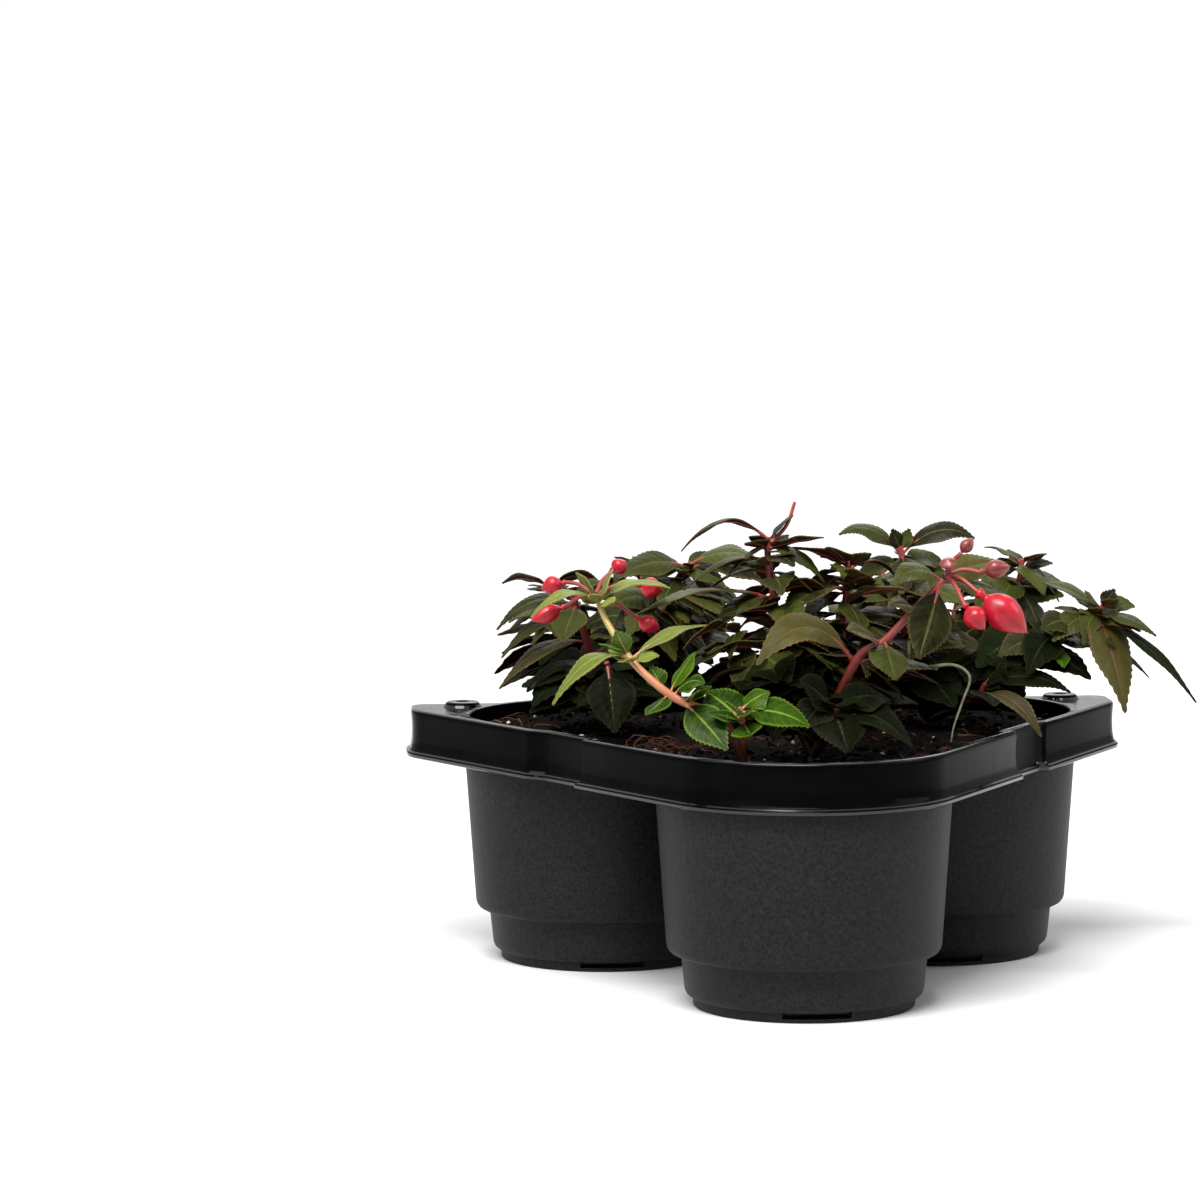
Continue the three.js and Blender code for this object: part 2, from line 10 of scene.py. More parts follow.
import bmesh
import bpy
from bpy.props import FloatProperty, FloatVectorProperty, IntProperty, PointerProperty
from mathutils import Matrix, Vector, noise
from mathutils.bvhtree import BVHTree


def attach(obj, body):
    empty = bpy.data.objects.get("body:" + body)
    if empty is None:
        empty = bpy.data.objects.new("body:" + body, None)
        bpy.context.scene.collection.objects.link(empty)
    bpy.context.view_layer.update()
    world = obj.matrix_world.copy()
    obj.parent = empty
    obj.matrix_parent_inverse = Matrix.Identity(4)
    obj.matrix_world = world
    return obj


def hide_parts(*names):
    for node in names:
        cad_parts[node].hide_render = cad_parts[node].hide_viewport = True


bl_info = {
    "name": "Fuchsia three-pot tray",
    "version": (1, 0, 0),
    "blender": (4, 5, 0),
    "location": "View3D > Sidebar > Fuchsia",
    "description": "Builds the tray, soil, leaves and buds over the packed solids",
    "category": "Object",
}

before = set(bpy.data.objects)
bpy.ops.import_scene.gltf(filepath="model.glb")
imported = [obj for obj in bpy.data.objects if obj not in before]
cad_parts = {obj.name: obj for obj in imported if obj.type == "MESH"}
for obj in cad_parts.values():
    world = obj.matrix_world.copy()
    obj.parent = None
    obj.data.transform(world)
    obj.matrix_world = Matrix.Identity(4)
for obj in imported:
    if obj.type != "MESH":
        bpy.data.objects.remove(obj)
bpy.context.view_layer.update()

MM = 0.001  # a millimetre in metres, for the sizes that materials and Blender tools take

# ---- sizes of the pack, in millimetres ----
ORIGIN = (-9.4945, 18.0422)  # from the middle of the three pots to the middle of the footprint
PITCH = 125.0
RIM_Z = 91.5
SKIRT_Z = 73.7
RIM_R = 52.5
WEB_Z = 81.5
WALL = 1.6
LIP = 2.3
SOIL_Z = 85.4
FRONT = (0.0, -PITCH / math.sqrt(3))
LEFT = (-PITCH / 2, PITCH / (2 * math.sqrt(3)))
RIGHT = (PITCH / 2, LEFT[1])
POTS = (FRONT, LEFT, RIGHT)
# The sunk field of a front side, as places along that side from the front pot: its near step,
# and the start and the end of the ramp at its far end.
RECESS_RIGHT = (68.0, 97.0, 101.0)
RECESS_LEFT = (59.5, 86.0, 98.0)
RECESS_BACK_HALF = 15.0
RECESS_DEPTH = 3.0
RECESS_CORNER = 0.7  # how far the corners of a step are cut back
RAMP_STEPS = 9
EAR_X = 133.0
EAR_Y = 73.0
EAR_FRONT_CORNER, EAR_BACK_CORNER = 6, 5  # how far the ear's corners are cut back
EAR_BOX, EAR_BOX_X, EAR_BOX_Y = (40, 90, 40), EAR_X - 12, 50  # what an ear has of the hollow
EYELET = (114.5, 62.5)
EYELET_R = 2.6
# The drainage slots in a pot's base ring.
SLOT_TURNS = (30, 150, 270)
SLOT_REACH = 36.95
SLOT_Z = 3.0
SLOT = (4.9, 24, 3.2)

# Raised outlines are (height, offset from the rim's outline) pairs.
SKIRT = (
    (73.7, 2.5), (74.0, 2.9), (75.0, 2.95), (75.6, 2.6), (76.0, 1.9), (76.8, 1.4), (79.5, 0.95),
    (83.0, 0.8), (86.5, 0.85), (89.0, 1.05), (90.3, 1.1), (91.0, 0.8), (91.4, 0.3), (91.5, -0.3),
)
UNDERSIDE = ((72.7, 1.4), (75.2, 1.2), (76.2, 0.1), (79.9, -0.6))
OPENING = ((WEB_Z, -LIP), (90.9, -LIP), (91.3, -LIP + 0.3), (91.5, -LIP + 0.8), (92.5, -LIP + 0.8))
EAR_HOLLOW = ((WEB_Z - 2 * WALL, -0.8), (RIM_Z - WALL, -0.8))
SOIL_TOP = ((81.8, -LIP - 0.6), (84.2, -LIP - 0.6), (SOIL_Z, -LIP - 2.5))
# Spun profiles are (radius, height) pairs.
EYELET_BOSS = (
    (0, RIM_Z - WALL), (7.5, RIM_Z - WALL), (7.5, RIM_Z), (6.7, 92.4), (6.1, 93.2), (5.6, 93.5), (0, 93.5),
)
POT_OUTSIDE = (
    (0, 2.2), (36.2, 2.2), (36.4, 0.1), (36.8, 0), (38.7, 0), (39.0, 0.3), (39.3, 3.3), (39.5, 3.5),
    (40.6, 3.7), (41.5, 4.5), (42.0, 5.6), (42.15, 6.6), (43.35, 17.9), (43.6, 18.3), (46.3, 18.9),
    (47.4, 19.5), (48.1, 20.5), (48.45, 21.8), (52.5, 80.9), (0, 80.9),
)
POT_INSIDE = (
    (0, 4), (39.2, 4), (40.4, 6.8), (41.8, 19.6), (45.6, 20.8), (46.8, 22.6), (50.2, WEB_Z),
    (50.2, WEB_Z + 1), (0, WEB_Z + 1),
)
SOIL_BALL = ((0, 4.3), (38.7, 4.3), (41.3, 19.8), (46.3, 22.9), (49.7, 81.5), (49.7, 83.2), (0, 83.2))

# ---- the plants ----
# A shoot is its stem's points, and its leaves as
# (place along the stem, compass turn, reach, rise of the tip, arch, width, kind).
SHOOTS = {
    "front_plant": (
        (((4, -68, 87), (-3, -58, 109), (-7, -52, 134), (-10, -50, 155), (-10, -50, 163)), (
            (0.99, 180, 31, -4, 9, 14, "dark"), (0.98, 25, 10, 9, 1, 12, "dark"),
            (0.95, 350, 20, 4, 1, 12, "dark"), (0.95, 235, 15, 3, 1, 9, "dark"),
            (0.89, 195, 32, -9, 6, 16, "dark"), (0.89, 300, 14, 4, 1, 9, "dark"),
            (0.72, 185, 51, -5, 7, 16, "dark"), (0.67, 235, 24, 2, 1, 13, "dark"),
            (0.47, 200, 30, 2, 4, 17, "dark"), (0.49, 330, 21, -1, 3, 17, "dark"))),
        (((4, -68, 87), (17, -80, 121), (27, -84, 129), (38, -86, 141), (47, -86, 150)), (
            (0.47, 200, 38, 1, 13, 16, "bronze"), (0.98, 230, 14, -25, -1, 17, "dark"),
            (0.99, 210, 21, 0, 5, 12, "dark"), (0.99, 5, 27, -7, 2, 15, "dark"),
            (0.64, 275, 16, -12, 1, 16, "dark"), (0.62, 220, 17, 6, 1, 12, "bronze"),
            (0.83, 215, 11, 2, 1, 10, "bronze"), (0.97, 30, 30, 6, 3, 14, "bronze"),
            (0.48, 340, 29, -2, 2, 16, "dark"))),
        (((4, -68, 87), (10, -90, 102), (7, -92, 108)), (
            (0.97, 280, 18, -14, 2, 20, "dark"), (0.79, 340, 26, -9, 6, 17, "dark"),
            (0.99, 220, 15, -8, 3, 15, "dark"), (0.96, 205, 13, 10, 1, 17, "dark"),
            (0.94, 20, 22, 2, 3, 17, "dark"))),
        (((4, -68, 87), (15, -48, 119), (19, -42, 143), (20, -40, 154)), (
            (0.88, 285, 21, 5, 1, 13, "dark"), (0.86, 225, 37, -7, 4, 18, "dark"),
            (0.98, 235, 15, 7, 1, 12, "dark"), (0.97, 190, 23, 7, 2, 11, "bronze"),
            (0.80, 340, 26, 3, 4, 18, "dark"), (0.70, 230, 34, -4, 3, 17, "dark"),
            (0.61, 330, 23, 4, 3, 17, "dark"))),
    ),
    "pale_shoot": (
        (((-22, -87, 87), (-30, -88, 102), (-46, -86, 110), (-54, -84, 116), (-61, -80, 123),
          (-68, -72, 134), (-72, -66, 143)), (
            (0.99, 190, 24, -5, 6, 12, "pale"), (0.99, 5, 26, 4, 4, 12, "pale"),
            (0.98, 200, 8, 11, 1, 9, "pale"), (0.98, 345, 5, 12, 0, 8, "pale"),
            (0.68, 205, 31, -14, 8, 12, "pale"), (0.70, 210, 12, 5, 1, 7, "bright"),
            (0.68, 15, 28, 11, 3, 12, "pale"), (0.70, 220, 6, 9, 0, 8, "bright"),
            (0.44, 330, 12, 5, 3, 10, "bright"), (0.46, 225, 12, -6, 0, 11, "bright"),
            (0.46, 20, 10, 14, 1, 9, "bright"), (0.49, 140, 5, 8, 0, 8, "bright"),
            (0.39, 310, 21, -15, 1, 15, "bright"))),
        (((-22, -87, 87), (-24, -97, 103), (-25, -98, 108)), (
            (0.91, 340, 24, -4, 3, 16, "bright"), (0.96, 5, 10, 6, 1, 11, "bright"),
            (0.94, 225, 7, 4, 0, 8, "bright"), (0.78, 275, 14, -3, 0, 12, "bright"),
            (0.77, 124, 20, 9, 1, 16, "bright"))),
    ),
    "left_plant": (
        (((-60, 36, 87), (-68, 24, 114), (-73, 14, 130), (-76, 8, 139)), (
            (0.88, 195, 31, -7, 7, 9, "dark"), (0.77, 200, 32, -12, 7, 8, "dark"),
            (0.60, 205, 37, -15, 7, 10, "bronze"), (0.48, 210, 27, -9, 3, 8, "bronze"),
            (0.90, 250, 18, -12, 1, 14, "dark"), (0.98, 205, 10, 4, 1, 9, "dark"),
            (0.98, 330, 11, 5, 1, 9, "dark"), (0.50, 320, 22, 7, 2, 14, "dark"))),
        (((-60, 36, 87), (-60, 8, 103), (-64, 0, 114)), (
            (0.97, 275, 16, -23, 1, 19, "dark"), (0.70, 215, 18, -5, 2, 13, "dark"),
            (0.58, 320, 19, 1, 3, 15, "dark"))),
        (((-60, 36, 87), (-51, 30, 117), (-42, 12, 137), (-33, 0, 150)), (
            (0.97, 200, 28, -3, 4, 14, "dark"), (0.98, 340, 26, 3, 4, 14, "dark"),
            (0.95, 335, 40, -7, 6, 16, "dark"), (0.75, 290, 21, -8, 2, 15, "dark"),
            (0.72, 210, 22, -1, 3, 15, "dark"), (0.44, 315, 25, -2, 3, 16, "dark"),
            (0.79, 345, 25, -3, 3, 14, "dark"))),
    ),
    "right_plant": (
        (((60, 36, 87), (85, 26, 110), (105, 18, 119), (119, 14, 128), (122, 13, 132)), (
            (0.95, 340, 22, -8, 3, 12, "dark"), (0.94, 295, 19, -35, 6, 24, "bronze"),
            (0.92, 340, 39, -31, 6, 10, "dark"), (0.92, 210, 19, -8, 3, 12, "dark"),
            (0.97, 160, 22, 10, 2, 12, "dark"), (0.98, 305, 8, 4, 1, 8, "dark"),
            (0.98, 10, 5, 7, 0, 7, "dark"), (0.98, 210, 8, 7, 0, 8, "dark"),
            (0.72, 210, 27, -5, 3, 15, "dark"), (0.69, 280, 16, -8, 1, 12, "bright"),
            (0.70, 10, 39, -15, 7, 18, "dark"))),
        (((60, 36, 87), (49, 14, 120), (46, 7, 142), (45, 5, 155)), (
            (0.96, 190, 24, 8, 6, 11, "dark"), (0.96, 350, 27, 6, 6, 11, "dark"),
            (0.98, 210, 4, 8, 0, 7, "dark"), (0.98, 0, 3, 8, 0, 7, "dark"),
            (0.79, 315, 27, -4, 3, 15, "dark"), (0.78, 215, 27, -3, 3, 16, "dark"),
            (0.53, 315, 25, -2, 3, 16, "dark"), (0.51, 220, 23, -4, 3, 16, "dark"))),
        (((60, 36, 87), (82, 44, 120), (94, 41, 137), (96, 40, 147)), (
            (0.98, 325, 10, 4, 1, 11, "dark"), (0.97, 290, 17, -10, 2, 14, "dark"),
            (0.98, 165, 14, 6, 2, 12, "dark"), (0.86, 290, 20, -19, 3, 16, "dark"),
            (0.81, 220, 21, -3, 2, 14, "dark"), (0.60, 330, 20, -9, 3, 15, "dark"),
            (0.57, 230, 24, -6, 3, 15, "dark"))),
        (((60, 36, 87), (73, 8, 98), (76, 3, 104)), (
            (0.97, 350, 32, -2, 5, 14, "dark"), (0.89, 270, 32, -1, 2, 13, "dark"),
            (0.80, 290, 49, -9, 7, 11, "bronze"), (0.96, 345, 8, 11, 1, 12, "dark"))),
    ),
}
# These shoots stand free: no small leaves hide them.
OPEN_SHOOTS = (("front_plant", 1), ("left_plant", 0))
# Low leaves that close the view between the pots, on the numbered shoot of a plant.
GAP_LEAVES = {
    ("front_plant", 0): (
        (0.08, 196, 36, 14, 5, 14, "dark"), (0.12, 172, 30, 8, 4, 13, "dark"),
        (0.18, 205, 34, 4, 5, 14, "dark"), (0.24, 184, 37, -2, 6, 14, "dark"),
        (0.30, 168, 30, -6, 5, 13, "dark"), (0.36, 198, 36, -10, 6, 14, "dark"),
        (0.44, 178, 33, -12, 5, 13, "dark")),
    ("left_plant", 2): (
        (0.16, 330, 26, 6, 4, 13, "dark"), (0.26, 306, 27, 0, 4, 13, "dark"),
        (0.36, 335, 26, -6, 4, 13, "dark"), (0.5, 312, 24, -12, 4, 13, "dark"),
        (0.6, 330, 24, -14, 4, 13, "dark"), (0.86, 318, 27, -13, 3, 14, "dark"),
        (0.74, 325, 28, -10, 3, 14, "dark"), (0.93, 340, 26, -16, 3, 12, "dark"),
        (0.8, 300, 22, -8, 3, 13, "dark")),
}
# Shoots by rule, behind and between the others: turn, reach, height, leaf pairs.
RULE_SHOOTS = {
    "front_plant": ((88, 22, 46, 3), (150, 30, 44, 3), (35, 28, 36, 3)),
    "left_plant": ((128, 34, 50, 3), (60, 30, 58, 3), (-18, 30, 46, 4), (235, 26, 24, 2)),
    "right_plant": ((60, 32, 46, 3), (122, 30, 58, 3), (195, 30, 42, 3)),
}
CROWNS = {"front_plant": (4, -68), "pale_shoot": (-22, -87), "left_plant": (-60, 36), "right_plant": (60, 36)}
HOME = {"front_plant": FRONT, "pale_shoot": FRONT, "left_plant": LEFT, "right_plant": RIGHT}
CROWN_ROOT, CROWN_TOP = 74.0, 89.0
DRY_STEM = ((40, -88.5, 120), (50, -92, 121), (55, -95, 117), (52, -98, 109), (49, -99, 101), (48, -98, 95))
BARE_STALK = ((-9, -50, 161), (-3, -47, 167), (0, -46, 175))
# A cluster is its knot, and its buds as (foot, point, radius).
BUDS = {
    "flower_buds": ((47.8, -87.6, 151.6), (
        ((57, -96, 147), (75, -97, 132), 6.3), ((52, -101, 143), (59, -103, 134), 4.2),
        ((52, -90, 159), (57, -90, 165), 2.4), ((48, -93, 155), (47, -95, 158), 3.0),
        ((59, -90, 153), (70, -91, 155), 3.4))),
    "pale_shoot_buds": ((-72.4, -63.9, 144), (
        ((-82, -54, 148), (-91, -56, 146), 2.9), ((-82, -57, 140), (-95, -60, 135), 2.6),
        ((-66, -51, 151), (-60, -48, 155), 2.4), ((-57, -52, 147), (-47, -50, 144), 3.1),
        ((-58, -58, 136), (-49, -58, 131), 2.6))),
}

# ---- seeded draws ----
LEAF_SEED = 4423  # for the shoots by rule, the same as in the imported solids
LOOK_SEED = 9091  # for the small leaves and each leaf's bend
SOIL_SEED = 4117
FULL_TURN = 6.28  # radians, for a drawn direction


class Draws:
    """Even draws from a seed, the same on every machine."""

    multiplier, modulus = 16807, 2147483647

    def __init__(self, seed):
        self.seed = seed

    def __call__(self, low, high):
        self.seed = (self.seed * self.multiplier) % self.modulus
        return low + (high - low) * (self.seed / self.modulus)


def at(x, y, z):
    """A place of the pack in millimetres, as a point of the model in metres."""
    return Vector(((x + ORIGIN[0]) / 1000, (y + ORIGIN[1]) / 1000, z / 1000))


def linear(hex_colour):
    """An sRGB hex colour as linear red, green, blue and alpha."""
    parts = [int(hex_colour[i : i + 2], 16) / 255 for i in (1, 3, 5)]
    return tuple(c / 12.92 if c <= 0.04045 else ((c + 0.055) / 1.055) ** 2.4 for c in parts) + (1.0,)


# ---- edit helpers ----
def deselect():
    """Leaves edit mode, with nothing selected."""
    if bpy.context.mode != "OBJECT":
        bpy.ops.object.mode_set(mode="OBJECT")
    bpy.ops.object.select_all(action="DESELECT")


def choose(*objects):
    """Selects these objects alone; the first is the active one."""
    deselect()
    for ob in objects:
        ob.select_set(True)
    bpy.context.view_layer.objects.active = objects[0]


def outward(ob):
    """Merges double points and turns every face outwards."""
    choose(ob)
    bpy.ops.object.mode_set(mode="EDIT")
    bpy.ops.mesh.select_all(action="SELECT")
    bpy.ops.mesh.remove_doubles(threshold=1e-6)
    bpy.ops.mesh.normals_make_consistent(inside=False)
    bpy.ops.object.mode_set(mode="OBJECT")


def finish_modifier(ob, kind, **settings):
    """Adds a modifier with its settings and applies it."""
    choose(ob)
    bpy.ops.object.modifier_add(type=kind)
    modifier = ob.modifiers[-1]
    for key, value in settings.items():
        setattr(modifier, key, value)
    bpy.ops.object.modifier_apply(modifier=modifier.name)


def combine(ob, other, how):
    """Joins or cuts a body with another, which is used up."""
    finish_modifier(ob, "BOOLEAN", operation=how, object=other, solver="EXACT")
    bpy.data.objects.remove(other, do_unlink=True)


def join(name, objects):
    """Makes the objects one, under a new name."""
    choose(*objects)
    if len(objects) > 1:
        bpy.ops.object.join()
    objects[0].name = name
    return objects[0]


def smooth(ob, degrees):
    """Shades the body smooth, with edges over so many degrees left sharp."""
    choose(ob)
    bpy.ops.object.shade_smooth_by_angle(angle=math.radians(degrees))


def hand_over(ob, node):
    """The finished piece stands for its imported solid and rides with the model."""
    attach(ob, "root")
    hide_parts(node)


# ---- outlines ----
def arc(points, pot, r, start, end, steps):
    """Adds the points of a round stretch about a pot, from start to end in degrees."""
    for i in range(steps + 1):
        a = math.radians(start + (end - start) * i / steps)
        points.append((pot[0] + r * math.cos(a), pot[1] + r * math.sin(a)))


def rounded(points, corner, before, after, cut, steps=3):
    """A corner turned from direction before to direction after, cut back by cut."""
    for i in range(steps + 1):
        t = i / steps
        k0, k1 = (1 - t) ** 2 * cut, t * t * cut
        points.append(tuple(c - b * k0 + a * k1 for c, b, a in zip(corner, before, after)))


def half_outline(offset, ears, recess):
    """Half of the rim's outline, from the front point to the middle of the back."""
    r = RIM_R + offset
    side = (math.sin(math.radians(30)), math.cos(math.radians(30)))
    out = (side[1], -side[0])
    inward = (-out[0], -out[1])
    half = []

    def on_side(along, reach):
        return (FRONT[0] + side[0] * along + out[0] * reach, FRONT[1] + side[1] * along + out[1] * reach)

    arc(half, FRONT, r, 270, 330, steps=24)
    low = recess[0] + offset
    rounded(half, on_side(low, r), side, inward, RECESS_CORNER)
    rounded(half, on_side(low, r - RECESS_DEPTH), inward, side, RECESS_CORNER)
    for i in range(RAMP_STEPS + 1):
        t = i / RAMP_STEPS
        place = recess[1] + (recess[2] - recess[1]) * t - offset
        half.append(on_side(place, r - RECESS_DEPTH * (1 - t * t * (3 - 2 * t))))
    if ears:
        x = EAR_X + offset
        start = (RIGHT[0] + r * out[0], RIGHT[1] + r * out[1])
        along = (x - start[0]) / side[0]
        rounded(half, (x, start[1] + along * side[1]), side, (0, 1), EAR_FRONT_CORNER, steps=8)
        rounded(half, (x, EAR_Y + offset), (0, 1), (-1, 0), EAR_BACK_CORNER, steps=8)
        arc(half, RIGHT, r, math.degrees(math.asin((EAR_Y + offset - RIGHT[1]) / r)), 90, steps=14)
    else:
        arc(half, RIGHT, r, 330, 450, steps=46)
    edge = RECESS_BACK_HALF - offset
    rounded(half, (edge, RIGHT[1] + r), (-1, 0), (0, -1), RECESS_CORNER)
    rounded(half, (edge, RIGHT[1] + r - RECESS_DEPTH), (0, -1), (-1, 0), RECESS_CORNER)
    return half


def outline(offset, ears):
    """The whole outline, whose two sunk front fields lie in different places."""
    other = half_outline(offset, ears, RECESS_LEFT)
    return half_outline(offset, ears, RECESS_RIGHT) + [(-x, y) for x, y in reversed(other[1:])]


FIELD_EDGE = 0.2  # the matt field stops this far from its steps


def in_label(x, y):
    """Is this place on the sunk floor of the matt label fields, at the back and at the right?"""
    floor = RIM_R - RECESS_DEPTH
    if abs(x) < RECESS_BACK_HALF - FIELD_EDGE and abs(y - RIGHT[1] - floor) < 2:
        return True
    low, _, high = RECESS_RIGHT
    out = (math.cos(math.radians(30)), -math.sin(math.radians(30)))
    reach = (x - FRONT[0]) * out[0] + (y - FRONT[1]) * out[1]
    slide = (x - FRONT[0]) * -out[1] + (y - FRONT[1]) * out[0]
    return -2 < reach - floor < 2.7 and low + FIELD_EDGE < slide < high - FIELD_EDGE


def raise_outline(name, levels, ears):
    """A disc in the outline's shape, extruded up level by level; each level has its own offset."""
    deselect()
    ring = outline(levels[0][1], ears)
    bpy.ops.mesh.primitive_circle_add(vertices=len(ring), radius=0.1, fill_type="NGON")
    ob = bpy.context.object
    ob.name = name
    step = ob.data.attributes.new("step", "INT", "POINT")
    for i, (x, y) in enumerate(ring):
        ob.data.vertices[i].co = at(x, y, levels[0][0])
        step.data[i].value = i
    ob.location = (0, 0, 0)
    bpy.ops.object.mode_set(mode="EDIT")
    bpy.ops.mesh.select_all(action="SELECT")
    for z, offset in levels[1:]:
        # The extrusion rises by a token length, and its points then go to their places.
        bpy.ops.mesh.extrude_region_move(TRANSFORM_OT_translate={"value": (0, 0, 0.0002)})
        edit = bmesh.from_edit_mesh(ob.data)
        number = edit.verts.layers.int["step"]
        ring = outline(offset, ears)
        for vert in edit.verts:
            if vert.select:
                vert.co = at(*ring[vert[number]], z)
        bmesh.update_edit_mesh(ob.data)
    bpy.ops.object.mode_set(mode="OBJECT")
    outward(ob)
    return ob


def spin_profile(name, profile, x, y, steps=96):
    """A closed body of revolution: the profile's line spun round the pot's axis."""
    deselect()
    mesh = bpy.data.meshes.new(name)
    mesh.from_pydata([at(x + r, y, z) for r, z in profile], [(i, i + 1) for i in range(len(profile) - 1)], [])
    ob = bpy.data.objects.new(name, mesh)
    bpy.context.collection.objects.link(ob)
    choose(ob)
    bpy.ops.object.mode_set(mode="EDIT")
    bpy.ops.mesh.select_all(action="SELECT")
    bpy.ops.mesh.spin(steps=steps, angle=2 * math.pi, center=at(x, y, 0), axis=(0, 0, 1))
    bpy.ops.object.mode_set(mode="OBJECT")
    outward(ob)
    return ob


def post(name, x, y, low, high, r, sides):
    """A round post, as a cutter."""
    deselect()
    place = at(x, y, (low + high) / 2)
    bpy.ops.mesh.primitive_cone_add(
        vertices=sides, radius1=r / 1000, radius2=r / 1000, depth=(high - low) / 1000, location=place
    )
    ob = bpy.context.object
    ob.name = name
    bpy.ops.object.transform_apply(location=True, rotation=True, scale=True)
    return ob


def block(centre, size, turn=0.0):
    """A box as a cutter, its centre and size in millimetres."""
    deselect()
    bpy.ops.mesh.primitive_cube_add(size=1, location=at(*centre))
    ob = bpy.context.object
    ob.scale = [length / 1000 for length in size]
    ob.rotation_euler = (0, 0, turn)
    bpy.ops.object.transform_apply(location=True, rotation=True, scale=True)
    return ob


# ---- materials ----
NOISE, COLOURS, BUMP = "ShaderNodeTexNoise", "ShaderNodeValToRGB", "ShaderNodeBump"
MATH, RANGE, MIX = "ShaderNodeMath", "ShaderNodeMapRange", "ShaderNodeMix"
ATTRIBUTE, SPLIT, PLACE = "ShaderNodeAttribute", "ShaderNodeSeparateXYZ", "ShaderNodeTexCoord"


def outlet(source):
    """A node stands for its first output."""
    return source.outputs[0] if isinstance(source, bpy.types.Node) else source


def add_node(tree, kind, links=(), stops=(), **settings):
    """Adds one node. Settings name its properties or inputs, and in_2 is the input with index 2.

    Links are (source, input) pairs, and stops the (place, colour) pairs of a colour ramp.
    """
    node = tree.nodes.new(kind)
    for key, value in settings.items():
        if key in node.inputs:
            node.inputs[key].default_value = value
        elif key.startswith("in_"):
            node.inputs[int(key[3:])].default_value = value
        else:
            setattr(node, key, value)
    for source, target in links:
        tree.links.new(outlet(source), node.inputs[target])
    if stops:
        elements = node.color_ramp.elements
        while len(elements) < len(stops):
            elements.new(0.5)
        for element, (place, colour) in zip(elements, stops):
            element.position = place
            element.color = colour
    return node


def new_material(name, **surface):
    """A material with its node tree and shader; surface names the shader's inputs."""
    material = bpy.data.materials.new(name)
    material.use_nodes = True
    tree = material.node_tree
    shader = tree.nodes["Principled BSDF"]
    for key, value in surface.items():
        shader.inputs[key.replace("_", " ")].default_value = value
    return material, tree, shader


def wire(tree, shader, **sources):
    """Links nodes or outputs to the shader's named inputs."""
    for key, source in sources.items():
        tree.links.new(outlet(source), shader.inputs[key.replace("_", " ")])


def grains(tree, size_mm, detail=3.0, roughness=0.55):
    """Noise on Object coordinates whose largest cells are size_mm across."""
    place = add_node(tree, PLACE).outputs["Object"]
    scale = 1000 / size_mm
    return add_node(tree, NOISE, [(place, "Vector")], Scale=scale, Detail=detail, Roughness=roughness)


def opaque(colour):
    """A setting's colour with full alpha."""
    return colour[:] + (1.0,)


def rim_plastic(settings, name, shine):
    """Black polypropylene off a polished mould: deep black, glossy, with faint rub marks."""
    material, tree, shader = new_material(name, IOR=1.49, Specular_IOR_Level=shine)
    blacks = ((0.35, linear("#020203")), (0.7, opaque(settings.rim_black)))
    colour = add_node(tree, COLOURS, [(grains(tree, 22), 0)], stops=blacks)
    rubbed = add_node(tree, RANGE, [(grains(tree, 3.0, 5.0), 0)], in_1=0.3, in_2=0.75, in_3=0.06, in_4=0.2)
    sinks = add_node(tree, BUMP, [(grains(tree, 9, 1.0), "Height")], Strength=0.5, Distance=0.12 * MM)
    wire(tree, shader, Base_Color=colour, Roughness=rubbed, Normal=sinks)
    return material


def label_plastic(settings):
    """The label fields of the rim: the same black plastic off an etched mould, so matt."""
    material, tree, shader = new_material(
        "polypropylene_etched", IOR=1.49, Roughness=0.6, Specular_IOR_Level=0.08)
    blacks = ((0.35, linear("#040404")), (0.7, opaque(settings.rim_black)))
    colour = add_node(tree, COLOURS, [(grains(tree, 12), 0)], stops=blacks)
    etching = add_node(tree, BUMP, [(grains(tree, 0.8, 2.0), "Height")], Strength=0.5, Distance=0.04 * MM)
    wire(tree, shader, Base_Color=colour, Normal=etching)
    return material


DUST_TOP = 26  # the height in millimetres up to which dust clings


def pot_plastic(settings):
    """Black polypropylene off a spark-eroded mould: dark grey, satin, with a fine even grain."""
    material, tree, shader = new_material(
        "polypropylene_grained", IOR=1.49, Roughness=0.52, Specular_IOR_Level=0.15)
    greys = ((0.36, linear("#030303")), (0.66, opaque(settings.pot_black)))
    body = add_node(tree, COLOURS, [(grains(tree, 1.3, 6.0, 0.8), 0)], stops=greys)
    # Dry potting dust clings to the foot and thins out upwards.
    height = add_node(tree, SPLIT, [(add_node(tree, PLACE).outputs["Object"], 0)]).outputs[2]
    low = add_node(tree, RANGE, [(height, 0)], in_1=0.0, in_2=DUST_TOP * MM, in_3=0.42, in_4=0.0)
    flecks = ((0.5, (0, 0, 0, 1)), (0.66, (1, 1, 1, 1)))
    specks = add_node(tree, COLOURS, [(grains(tree, 1.6, 6.0), 0)], stops=flecks)
    dust = add_node(tree, MATH, [(low, 0), (specks, 1)], operation="MULTIPLY")
    colour = add_node(tree, MIX, [(dust, 0), (body, 6)], data_type="RGBA", in_7=linear("#2e241b")).outputs[2]
    # Spark grain is about 0.2 mm, drawn coarser so that it shows.
    grain = add_node(tree, BUMP, [(grains(tree, 1.1, 3.0), "Height")], Strength=0.9, Distance=0.14 * MM)
    wire(tree, shader, Base_Color=colour, Normal=grain)
    return material


